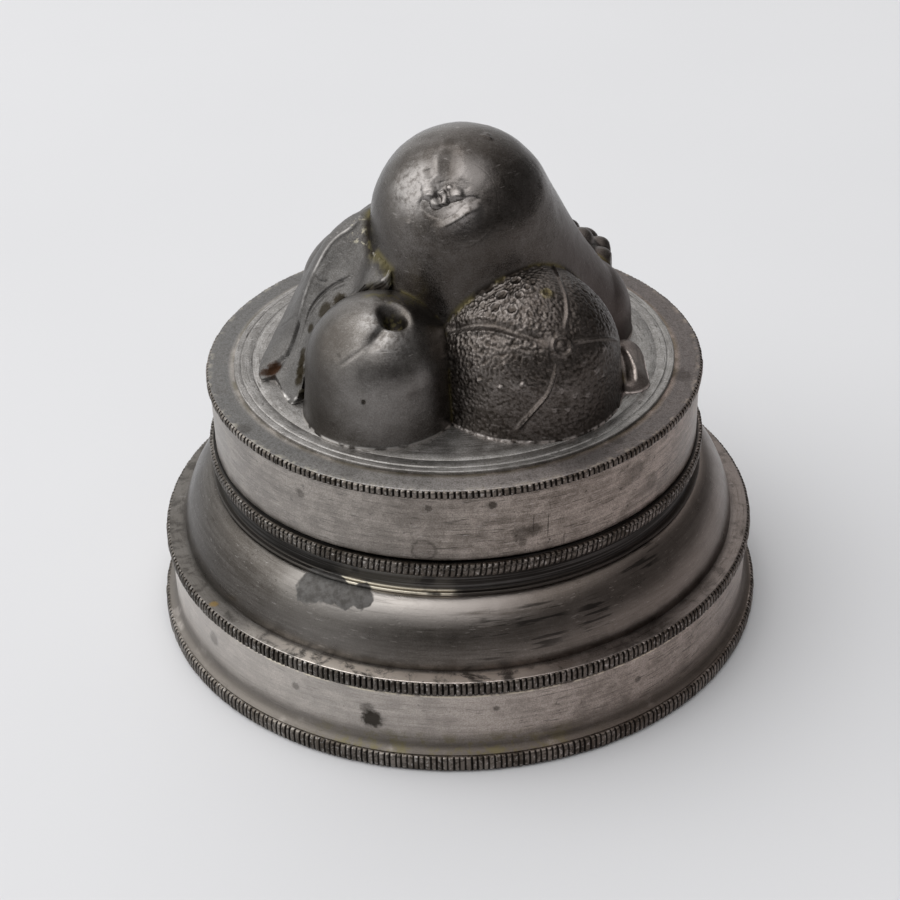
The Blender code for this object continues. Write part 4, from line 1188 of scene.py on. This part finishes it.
for piece, neighbours in (
        (pear, (APPLE, MELON, LEAF, PEACH, PLUM, GRAPES)), (apple, (PEAR, MELON, LEAF)),
        (melon, (PEAR, APPLE, SIDE_LEAF)), (draped, (PEAR, APPLE, PEACH)),
        (side_leaf, (MELON, PEAR)), (peach, (PEAR, PLUM, LEAF)), (plum, (PEAR, PEACH, GRAPES)),
        (grapes, (PEAR, PLUM))):
    points, spread = points_of(piece), LEAF_SPREAD if piece is draped else SPREAD
    nearby = [np.exp(-np.clip(form.clearance(points) - CORNER_GAP, 0.0, None) / spread)
              for form in neighbours]
    keep_value(piece, "corner", np.max(nearby, axis=0))
    above = np.clip(points[:, 2] - FRUIT_BASE, 0.0, None)
    keep_value(piece, "foot", np.exp(-above / FOOT_SPREAD))
keep_value(melon, "net", melon_net(points_of(melon)))
print("values kept on", melon.name, ":", [a.name for a in melon.data.attributes
                                         if a.data_type == "FLOAT"])

# %% Worn lines, and grooves darkened with dirt and painted shade
HOLE_RIM = ((-11.9, -36.4, 103.5), (-11.5, -34.6, 104.4), (-12.0, -32.6, 105.4),
            (-13.6, -31.4, 106.2), (-15.4, -31.4, 106.3))
# the furrow is painted darker: painted shade
PEAR_RUBS_AND_SHADE = ((FURROW, 2.4, -0.5), (RIDGE, 1.3, 0.5), (SMUDGE, 1.4, -0.6))
RUBS_AND_SHADE = (
    (draped, ((MIDRIB, 0.45, 1.0), (LOBE_RIM, 0.4, 1.5), (SLIT, 0.7, -1.0), (VEIN, 0.4, -0.7),
              # painted shadow under the lobe of the leaf
              (((-16.0, -19.0, 105.4), (-20.0, -18.0, 104.0), (-23.0, -16.2, 101.6)), 1.2, -1.4),
              (((-42.4, -26.2, 77.0), (-40.8, -25.6, 77.4)), 0.8, 0.9))),
    (melon, ((RIB_UP, 0.4, 0.6), (RIB_RIGHT, 0.35, 0.6), (RIB_DOWN, 0.4, 0.9),
             (BROAD_LIP, 0.5, 0.5), (BROAD, 1.0, -0.7), *((spot, 0.7, 1.0) for spot in CRUMBS),
             *((spot, 0.5 * size, -1.0) for spot, size in CRATERS))),
    (side_leaf, ((EDGE_LINE, 0.5, 1.3), (TROUGH, 0.8, -1.1))),
    (apple, ((HOLE_RIM, 0.5, 0.8), (CREASE[2:], 0.4, 0.5))),
    (pear, PEAR_RUBS_AND_SHADE),
    # the basin round the flower, its pits, the crease of the fold and the underside are painted
    # darker: painted shade
    (flower, ((FOLD_FACE, 1.6, 0.22), (FOLD_CREASE, 0.5, -0.9), (FLOWER, 3.4, -0.35),
              (UNDER, 1.1, -1.2), (PIT, 1.0, -1.0), (SLOT, 0.4, -0.8), *PEAR_RUBS_AND_SHADE,
              *((path, 0.9 * wide, 0.8) for path, wide, tall in KNOT if tall > 0.5))))
for piece, rows in RUBS_AND_SHADE:
    keep_value(piece, "rub", marks(points_of(piece), rows))
print("rubbed lines kept on", len(RUBS_AND_SHADE), "castings")

# %% [markdown]
# ## Pewter
# Pewter is a grey metal with a soft half gloss. Its colour comes from what it mirrors, so the
# base colours are low and close together, and most of the look is in how the gloss changes. One
# function makes the tones of the turned rings: slow clouds of tarnish, fine turning lines, hair
# scratches and small pits. Each ring then adds the stains that only it has, and painted light and
# shade that make one side of it paler or darker. The picture shows the left of the mould a neutral
# grey and its right a browner one, so each finish is tinted that way.

# %% Shared marks in a finish
HAIR_LEVEL, HAIR_SOFT = 0.67, 0.05


def grey(level, warm=0.04):
    """A grey, a little warm."""
    return (level * (1.0 + warm), level, level * (1.0 - warm), 1.0)


# dark grime, also laid on as painted shade
DIRT_AND_SHADE = grey(0.03, 0.18)
OLIVE = (0.150, 0.132, 0.066, 1.0)
CREAM = (0.66, 0.61, 0.50, 1.0)
PLAIN, BROWN = (1.0, 1.0, 1.0, 1.0), (1.02, 0.92, 0.905, 1.0)
BROWN_START, BROWN_END = -40.0, 60.0


def hairs(finish, along, across):
    """Hair scratches, drawn out along one way."""
    where = finish.stretched((along, along * 1.3, across))
    return finish.patches(HAIR_LEVEL, HAIR_LEVEL + HAIR_SOFT, 1.0, 2.0, 0.5, where)


def speckled(finish, colour):
    """Fine grain: the colour a little darker and lighter from grain to grain."""
    grain = finish.patches(0.32, 0.68, 0.36, 2.0, 0.6)
    return finish.mix(1.0, colour, finish.mix(grain, grey(0.76, 0.03), grey(1.2, 0.0)), "MULTIPLY")


def browned(finish):
    """Pewter gets browner from the left of the mould to its right."""
    tint = finish.mix(finish.x.between(BROWN_START, BROWN_END), PLAIN, BROWN)
    finish.colour = finish.mix(1.0, finish.colour, tint, "MULTIPLY")


def paint_light_side_to_side(finish, start, end, left, right):
    """Paint light and shade from one side to the other: each side is (strength, tint)."""
    sides = [finish.mix(share, finish.colour, tint) for share, tint in (left, right)]
    finish.colour = finish.mix(finish.x.between(start, end), *sides)


print("dirt:", [round(level, 3) for level in DIRT_AND_SHADE[:3]])

# %% Turned pewter
def turned_pewter(name, dark, pale, rough, lines=0.5, stain=None, blotches=0.40, brown=True):
    """Finish for the turned rings, with their own stains and painted light."""
    finish = Finish(name)
    tarnish = finish.clouds(24.0, 5.0, 0.6, warp=0.4)
    blotch = finish.clouds(5.0, 4.0, 0.65, warp=0.3)
    streaks = finish.clouds(1.0, 3.0, 0.6, finish.round_ring(0.07, 0.9))
    fine = finish.clouds(1.0, 2.0, 0.6, finish.round_ring(0.03, 6.0))
    grain = finish.clouds(0.6, 3.0, 0.7)
    nicks = finish.patches(0.61, 0.69, 1.0, 2.0, 0.5, finish.round_ring(0.16, 2.6))
    pits = finish.patches(0.66, 0.72, 2.2, 3.0, 0.6)
    hair = hairs(finish, 0.3, 3.0)
    tone = tarnish * 0.30 + blotch * blotches + streaks * (0.70 - blotches)
    finish.colour = speckled(finish, finish.mix(tone.between(0.40, 0.60), dark, pale))
    finish.lay(grain.between(0.56, 0.70) * 0.35, DIRT_AND_SHADE)
    finish.lay(nicks.most(pits) * 0.65, DIRT_AND_SHADE)
    finish.lay(fine.between(0.58, 0.72) * 0.4 * lines, DIRT_AND_SHADE)
    finish.lay(hair * 0.35, grey(0.55))
    finish.gloss = (rough + (tarnish - 0.5) * 0.20 + (blotch - 0.5) * 0.25
                    + (fine - 0.5) * 0.1 * lines)
    # stain adds the ring's own stains and its painted light and shade
    if stain:
        stain(finish)
    if brown:
        browned(finish)
    height = fine * lines * 0.4 + grain * 0.6 + finish.clouds(3.0) - hair * 0.3 - pits * 0.5
    return finish.done(height, 0.045)


print("turned pewter ready")

# %% [markdown]
# ## Stains and painted light on the turned pieces
# Each stain is a soft spot around a point, with an edge made ragged by noise. The base skirt has
# one dark round spot and a brown cove. The cover's skirt is darker, with a few spots and two fine
# upright scratches. Solder was wiped round the top of the dome and shines there, and a dull grey
# stain lies over it. Dirt and green tarnish stay in the corner beside the fruit plate, and the
# spigot under the cover is polished paler than the dirty neck below it. Each ring is also painted
# paler or darker from one side to the other, as the light falls on it, the dome has a paler patch
# where its broad highlight lies, and the cover's flange is painted paler at the front.


# %% Skirts
def base_stains_and_painted_light(finish):
    # painted light and shade: the skirt is painted paler on its left, where the soft box lights
    # it, and darker on its right
    paint_light_side_to_side(finish, -80.0, 60.0, (0.52, grey(0.6, 0.06)), (0.22, DIRT_AND_SHADE))
    cove = (1.0 - finish.high.between(6.0, 12.0)) * finish.patches(0.12, 0.46, 9.0, 4.0)
    finish.lay(cove * 0.85, grey(0.08, 0.14))
    finish.gloss += cove * 0.12
    olive = finish.spot((-4.0, -84.0, 6.0), 34.0) * finish.patches(0.46, 0.62, 4.0, 4.0, 0.7)
    finish.lay(olive * cove * 0.7, OLIVE)
    finish.lay(finish.high.between(21.9, 22.4) * finish.patches(0.40, 0.55, 3.0), CREAM)
    finish.stains(
        DIRT_AND_SHADE, 0.1, ((-23.0, -78.1, 13.0), 2.8, 0.95), ((-24.2, -77.8, 16.0), 1.9, 0.55),
        ((-42.8, -69.2, 17.0), 1.1, 0.5), ((45.3, -67.6, 15.0), 1.0, 0.6),
        ((8.4, -80.9, 18.0), 0.8, 0.6), ((-66.0, -48.0, 16.0), 2.0, 0.4),
        ((30.0, -75.7, 12.0), 2.4, 0.3))


def cover_stains_and_painted_light(finish):
    high, radius = finish.high, finish.radius
    corner = radius.between(58.4, 59.4) * (1.0 - radius.between(59.8, 61.4)) * high.between(73, 74)
    # painted light: the skirt is painted paler on its left, where the soft box lights it
    paint_light_side_to_side(finish, -64.0, 20.0, (0.28, grey(0.5)), (0.04, DIRT_AND_SHADE))
    finish.lay(corner * finish.patches(0.40, 0.58, 7.0, 4.0) * 0.6,
               finish.mix(finish.clouds(4.0), DIRT_AND_SHADE, OLIVE))
    top = high.between(73.9, 74.3)
    flange = top * finish.patches(0.0, 0.34, 6.0)
    # the flange is worn, and painted paler at the front against its dark reflection of the fruit:
    # painted light
    worn = finish.mix(finish.spot((0.0, -62.0, 74.4), 28.0, 0.6), grey(0.125, 0.0),
                      grey(0.38, 0.02))
    worn = finish.mix(finish.patches(0.50, 0.68, 1.4, 4.0, 0.7) * 0.5, worn, DIRT_AND_SHADE)
    finish.lay(flange * (1.0 - corner) * 0.85, speckled(finish, worn))
    finish.gloss += flange * 0.14
    rim = top * radius.between(64.6, 66.0)
    finish.lay(rim * finish.patches(0.5, 0.62, 2.5) * 0.25, CREAM)
    finish.stains(
        DIRT_AND_SHADE, 0.1, ((8.5, -65.6, 69.5), 1.1, 0.8), ((-7.1, -65.7, 69.1), 0.9, 0.6),
        ((15.2, -64.4, 59.9), 2.2, 0.55), ((18.8, -63.4, 60.3), 1.7, 0.6),
        ((15.8, -64.2, 57.0), 1.2, 0.5), ((45.3, -48.2, 66.9), 2.6, 0.45),
        ((49.7, -43.5, 60.5), 2.2, 0.4), ((-39.0, -53.0, 66.0), 1.3, 0.5),
        ((-54.3, -36.0, 74.4), 2.4, 0.4), ((60.0, -15.0, 74.4), 2.8, 0.45),
        ((40.2, -45.7, 74.4), 1.8, 0.4))
    upright = finish.patches(0.62, 0.67, 1.0, 2.0, 0.5, finish.stretched((1.5, 1.5, 0.10)))
    finish.lay(upright * finish.spot((21.0, -62.6, 60.0), 7.5) * 0.8, DIRT_AND_SHADE)
    outer, inner = (finish.spot((-8.7, -65.6, 56.4), size, 0.15) for size in (3.2, 2.5))
    finish.lay((outer - inner).between(0.0, 1.0) * 0.4, DIRT_AND_SHADE)


skirt_finish = turned_pewter("skirt_pewter", grey(0.23, 0.11), grey(0.44, 0.09), 0.36, 0.9,
                             base_stains_and_painted_light)
cover_finish = turned_pewter("cover_pewter", grey(0.16, 0.12), grey(0.32, 0.10), 0.38, 0.8,
                             cover_stains_and_painted_light)
print("skirt finishes ready")


# %% Body and plate
def dome_stains_and_painted_light(finish):
    high = finish.high
    # painted light and shade: the dome is painted darker on its left and paler and browner on its
    # right
    paint_light_side_to_side(finish, -70.0, 60.0, (0.42, DIRT_AND_SHADE), (0.5, grey(0.20, 0.12)))
    # a paler patch on the front left, where the dome's broad highlight lies: painted highlight
    finish.lay(finish.spot((-34.0, -68.0, 33.0), 16.0, 0.8) * 0.30, grey(0.26, 0.06))
    front = finish.spot((-13.0, -65.0, 42.0), 26.0, 0.5)
    line = high.between(43.1, 43.5)
    finish.lay(line * 0.9, grey(0.05, 0.1))
    finish.gloss += line * (1.0 - front) * 0.25
    cream = finish.spot((-16.0, -65.0, 44.0), 15.0, 0.25)
    finish.lay(line * finish.patches(0.34, 0.44, 9.0) * cream, CREAM)
    wiped = high.between(36.0, 42.0) * (1.0 - line) * front
    wiped *= finish.patches(0.25, 0.52, 1.0, 4.0, 0.6, finish.round_ring(0.05, 0.45))
    finish.lay(wiped * 0.7, grey(0.42, 0.06))
    stain = finish.blot((((-37.4, -59.8, 41.8), 4.6), ((-32.8, -61.9, 42.0), 4.6),
                         ((-28.6, -64.0, 41.6), 3.4), ((-24.8, -65.2, 42.2), 3.4)), 0.10, 0.5, 2.0)
    finish.lay(stain, finish.mix(finish.patches(0.35, 0.65, 1.6, 4.0, 0.7), grey(0.08, 0.06),
                                 grey(0.125)))
    finish.gloss += stain * 0.3
    streaks = finish.patches(0.53, 0.59, 1.0, 3.0, 0.6, finish.round_ring(0.05, 0.6))
    where = finish.blot((((8.0, -74.2, 34.5), 6.0), ((20.0, -71.0, 36.6), 7.0),
                         ((34.0, -66.7, 35.2), 5.0), ((45.0, -51.5, 42.8), 7.0)))
    finish.lay(where * streaks * 0.85, grey(0.035, 0.1))
    finish.lay((1.0 - high.between(27.5, 33.0)) * finish.patches(0.42, 0.62, 6.0) * 0.5,
               grey(0.05, 0.15))
    spigot = high.between(53.1, 53.5)
    rings = finish.patches(0.46, 0.60, 1.0, 2.0, 0.6, finish.round_ring(0.02, 2.2))
    finish.lay(high.between(44.4, 44.7) * (1.0 - spigot) * 0.95,
               finish.mix(rings, grey(0.02, 0.1), grey(0.075)))
    finish.lay(spigot * 0.5, grey(0.22, 0.05))


def ledge_stains_and_painted_shade(finish):
    worn = finish.high.between(26.6, 26.9) * finish.radius.between(77.2, 78.6)
    worn = worn * finish.patches(0.38, 0.54, 5.0, 5.0, 0.72, None, 0.5) * 0.9
    near = finish.spot((-14.0, -80.0, 27.0), 36.0, 0.5) * 0.92 + 0.08
    # painted shade: the ledge is painted darker on its left, where the soft box would make clean
    # metal too pale, and on its right
    paint_light_side_to_side(finish, -72.0, -40.0, (0.74, DIRT_AND_SHADE), (0.0, DIRT_AND_SHADE))
    paint_light_side_to_side(finish, 20.0, 60.0, (0.0, DIRT_AND_SHADE), (0.5, DIRT_AND_SHADE))
    finish.lay(worn * near, grey(0.76, 0.09))
    finish.stains((0.30, 0.19, 0.05, 1.0), 0.2, ((-65.0, -47.1, 27.0), 1.1, 0.6))


dome_finish = turned_pewter("body_pewter", grey(0.076, 0.09), grey(0.13, 0.07), 0.32, 0.7,
                            dome_stains_and_painted_light, blotches=0.15)
plate_finish = turned_pewter("plate_pewter", grey(0.22, 0.04), grey(0.36, 0.03), 0.52, 0.8,
                             brown=False)
ledge_finish = turned_pewter("ledge_pewter", grey(0.14, 0.06), grey(0.27, 0.04), 0.36,
                             stain=ledge_stains_and_painted_shade)
print("body and plate finishes ready")


# %% Beads
def bead_finish(name, tip):
    """Rubbed tips, painted glints, and gaps darkened with painted shade."""
    finish = Finish(name)
    depth = finish.attribute("gap").between(0.06, 0.5)
    patch = finish.patches(0.35, 0.65, 9.0)
    finish.colour = finish.mix(patch, grey(tip, 0.11), grey(0.45 * tip, 0.16))
    # pale specks on the teeth: painted glints
    finish.lay(finish.patches(0.57, 0.66, 0.8, 2.0) * 0.55, grey(0.45))
    finish.lay(finish.patches(0.50, 0.64, 1.3) * 0.7, DIRT_AND_SHADE)
    # the gaps between the teeth are painted nearly black: painted shade
    finish.lay(depth, grey(0.015, 0.15))
    finish.gloss = 0.36 + depth * 0.35 + (patch - 0.5) * 0.1
    browned(finish)
    return finish.done(finish.clouds(0.5, 2.0), 0.03)


light_bead, dark_bead = bead_finish("skirt_bead", 0.19), bead_finish("body_bead", 0.13)
print("bead finishes ready")

# %% [markdown]
# ## Cast pewter
# The fruit was never turned, so it has the even grain of the mould that it was cast in, and worn
# patches where it stands out. Dirt and a little green tarnish sit in its corners, where painted
# shade darkens them too, and a broken line of bright solder runs round its foot. Each fruit adds
# its own
# worn places and painted shade: the light from the left makes every left side too pale in a clean
# metal, so painted shade is laid there.

# %% Fruit finish
RUBBED_GREY = grey(0.36, 0.03)


def cast_pewter(name, dark, pale, rough, grain_size=0.6, wear=None, rubbed=grey(0.50)):
    """Finish for a casting, with its own worn places and painted shade."""
    finish = Finish(name)
    clouds = finish.clouds(13.0, 5.0, 0.6, warp=0.5)
    blotch = finish.clouds(3.5, 4.0, 0.65)
    grain = finish.clouds(grain_size, 3.0, 0.7)
    hair = hairs(finish, 0.35, 2.2)
    tone = (clouds * 0.5 + blotch * 0.3 + grain * 0.2).between(0.36, 0.64)
    finish.colour = speckled(finish, finish.mix(tone, dark, pale))
    finish.lay(grain.between(0.56, 0.70) * 0.3, DIRT_AND_SHADE)
    finish.lay(hair * 0.35, grey(0.36))
    finish.gloss = rough + (clouds - 0.5) * 0.2 + (blotch - 0.5) * 0.15 + (grain - 0.5) * 0.2
    # wear adds the fruit's own worn places and its painted shade
    if wear:
        wear(finish)
    # darker where a form meets its neighbours: dirt and green tarnish, and painted shade in the
    # corner
    corner = finish.attribute("corner").between(0.35, 0.95)
    finish.lay(corner * 0.9, finish.mix(finish.patches(0.44, 0.60, 5.0), DIRT_AND_SHADE, OLIVE))
    finish.gloss += corner * 0.25
    rub = finish.attribute("rub")
    # grooves and hollows are darker: dirt, and painted shade
    finish.lay((0.0 - rub).between(0.15, 0.9) * 0.85, DIRT_AND_SHADE)
    finish.lay(rub.between(0.15, 0.9) * finish.patches(0.26, 0.50, 1.1, 3.0, 0.65) * 0.75, rubbed)
    foot = finish.attribute("foot").between(0.45, 0.9) * finish.patches(0.36, 0.52, 3.0, 2.0)
    finish.lay(foot * 0.85, grey(0.66))
    browned(finish)
    return finish.done(grain + finish.clouds(2.6) * 0.7 - hair * 0.3, 0.055)


def pear_wear_and_painted_shade(finish):
    # painted shade: the pear is painted darker on its left, where the soft box would make clean
    # metal too pale, and on its right
    paint_light_side_to_side(finish, -21.0, -8.0, (0.66, DIRT_AND_SHADE), (0.0, DIRT_AND_SHADE))
    paint_light_side_to_side(finish, 0.0, 24.0, (0.0, DIRT_AND_SHADE), (0.38, DIRT_AND_SHADE))
    neck = finish.spot((38.0, 4.0, 88.0), 24.0, 0.5)
    finish.lay(neck * 0.5, (0.105, 0.086, 0.080, 1.0))
    finish.gloss += neck * 0.2
    # painted shade on the front of the pear below the fold
    painted_shade_below_fold = finish.blot((((8.0, -24.0, 122.0), 8.0), ((6.0, -25.0, 117.0), 9.0),
                        ((4.0, -25.0, 111.0), 9.0)), 0.8)
    finish.lay(painted_shade_below_fold * 0.5, DIRT_AND_SHADE)
    patchy = finish.patches(0.30, 0.60, 1.8, 4.0, 0.65)
    finish.lay(finish.spot((-8.4, -16.4, 131.0), 6.4, 0.5) * patchy * 0.6, RUBBED_GREY)
    finish.lay(finish.spot((6.0, -16.4, 134.6), 4.4, 0.7) * 0.42, RUBBED_GREY)
    finish.lay(finish.spot((3.0, -22.4, 127.6), 4.5, 0.6) * patchy * 0.5, grey(0.40, 0.03))
    finish.stains(DIRT_AND_SHADE, 0.1, ((0.2, -7.5, 139.3), 1.6, 0.6), ((-0.9, -10.5, 138.4), 1.2, 0.4),
                  ((28.5, -4.0, 113.5), 0.6, 0.9))


def apple_wear_and_painted_shade(finish):
    # painted shade: the apple is painted darker on its left, where the soft box would make clean
    # metal too pale
    paint_light_side_to_side(finish, -37.0, -20.0, (0.85, DIRT_AND_SHADE), (0.0, DIRT_AND_SHADE))
    cheeks = finish.blot((((-19.5, -36.5, 104.6), 3.2), ((-14.8, -41.2, 101.8), 4.6)), 0.6)
    finish.lay(cheeks * finish.patches(0.38, 0.60, 1.4, 4.0, 0.65) * 0.6, RUBBED_GREY)
    finish.lay(finish.spot((-18.0, -48.0, 90.0), 13.0) * 0.2, grey(0.3))
    hole = finish.spot((-14.9, -34.6, 100.6), 4.2, 0.25, 0.2)
    green = finish.patches(0.45, 0.60, 1.8, 2.0)
    finish.lay(hole * 0.9, finish.mix(green, DIRT_AND_SHADE, OLIVE))
    finish.gloss += hole * 0.2
    joint = finish.blot((((-19.6, -25.8, 107.0), 2.6), ((-15.8, -27.2, 107.2), 2.4),
                         ((-12.4, -26.8, 106.3), 2.4), ((-9.2, -25.8, 104.6), 2.4)), 0.5)
    finish.lay(joint * green * 0.85, (0.20, 0.18, 0.095, 1.0))
    finish.stains(DIRT_AND_SHADE, 0.05, ((-28.8, -39.0, 100.6), 4.6, 0.35), ((-22.5, -47.1, 88.4), 0.6, 0.9))


def melon_wear_and_painted_light(finish):
    net = finish.attribute("net")
    # painted shade: the melon is painted darker on its right
    paint_light_side_to_side(finish, 20.0, 38.0, (0.0, DIRT_AND_SHADE), (0.7, DIRT_AND_SHADE))
    # the net is darker in its pits and paler on its crests: dirt and painted shade in the pits,
    # painted highlights on the crests
    finish.lay((1.0 - net.between(-0.8, 0.15)) * 0.75, DIRT_AND_SHADE)
    finish.lay(net.between(0.30, 0.8) * 0.27, grey(0.36, 0.05))
    finish.stains(OLIVE, 0.2, ((23.4, -30.4, 108.4), 1.6, 0.8))


def leaf_wear(finish):
    solder = finish.spot((-23.6, -1.6, 112.4), 3.2, 0.5)
    solder = solder.most(finish.spot((-21.4, -4.8, 110.6), 2.2))
    finish.lay(solder * finish.patches(0.56, 0.66, 1.3) * 0.8, (0.46, 0.43, 0.34, 1.0))
    finish.stains((0.055, 0.026, 0.013, 1.0), 0.3, ((-47.6, -12.6, 77.6), 2.3, 0.95),
                  ((-50.2, -12.4, 76.8), 1.3, 0.7))
    finish.stains(
        (0.028, 0.021, 0.010, 1.0), 0.25, ((-29.2, -11.6, 97.5), 2.0, 0.8),
        ((-33.2, -11.6, 94.8), 2.2, 0.75), ((-37.2, -12.1, 89.8), 1.3, 0.8),
        ((-39.2, -15.4, 84.4), 1.4, 0.8), ((-39.5, -17.4, 83.0), 1.7, 0.95),
        ((-39.8, -19.6, 81.4), 1.8, 0.95), ((-40.2, -21.6, 79.8), 1.6, 0.9))


print("cast pewter ready")

# %% Wear the finishes
pear_finish = cast_pewter("pear_pewter", grey(0.062, 0.1), grey(0.13, 0.05), 0.28, wear=pear_wear_and_painted_shade)
apple_finish = cast_pewter("apple_pewter", grey(0.09, 0.09), grey(0.19, 0.05), 0.33,
                           wear=apple_wear_and_painted_shade)
melon_finish = cast_pewter("melon_pewter", grey(0.075, 0.1), grey(0.155, 0.06), 0.36, 0.45,
                           melon_wear_and_painted_light)
fruit_finish = cast_pewter("fruit_pewter", grey(0.05, 0.1), grey(0.105, 0.06), 0.40)
leaf_finish = cast_pewter("leaf_pewter", grey(0.085, 0.04), grey(0.135, 0.03), 0.50, 0.45,
                          leaf_wear)
side_finish = cast_pewter("side_leaf_pewter", grey(0.13, 0.08), grey(0.24, 0.06), 0.50, 0.45,
                          rubbed=(1.0, 0.97, 0.90, 1.0))

for finish, names in (
        (skirt_finish, ("base_skirt",)), (cover_finish, ("cover_skirt",)),
        (dome_finish, ("dome", "collar")), (ledge_finish, ("shoulder",)),
        (plate_finish, ("plate",)), (light_bead, ("foot_bead", "lid_bead")),
        (dark_bead, ("shoulder_bead", "collar_bead")),
        (pear_finish, ("pear_casting", "pear_flower")), (apple_finish, ("apple_casting",)),
        (melon_finish, ("melon_casting",)), (leaf_finish, ("draped_leaf_casting",)),
        (side_finish, ("side_leaf_casting",)),
        (fruit_finish, ("peach_casting", "plum_casting", "grape_casting"))):
    for name in names:
        materials = bpy.data.objects[name].data.materials
        materials.clear()
        materials.append(finish)
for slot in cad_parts["base_floor"].material_slots:
    slot.material = plate_finish
print("materials:", len(bpy.data.materials))
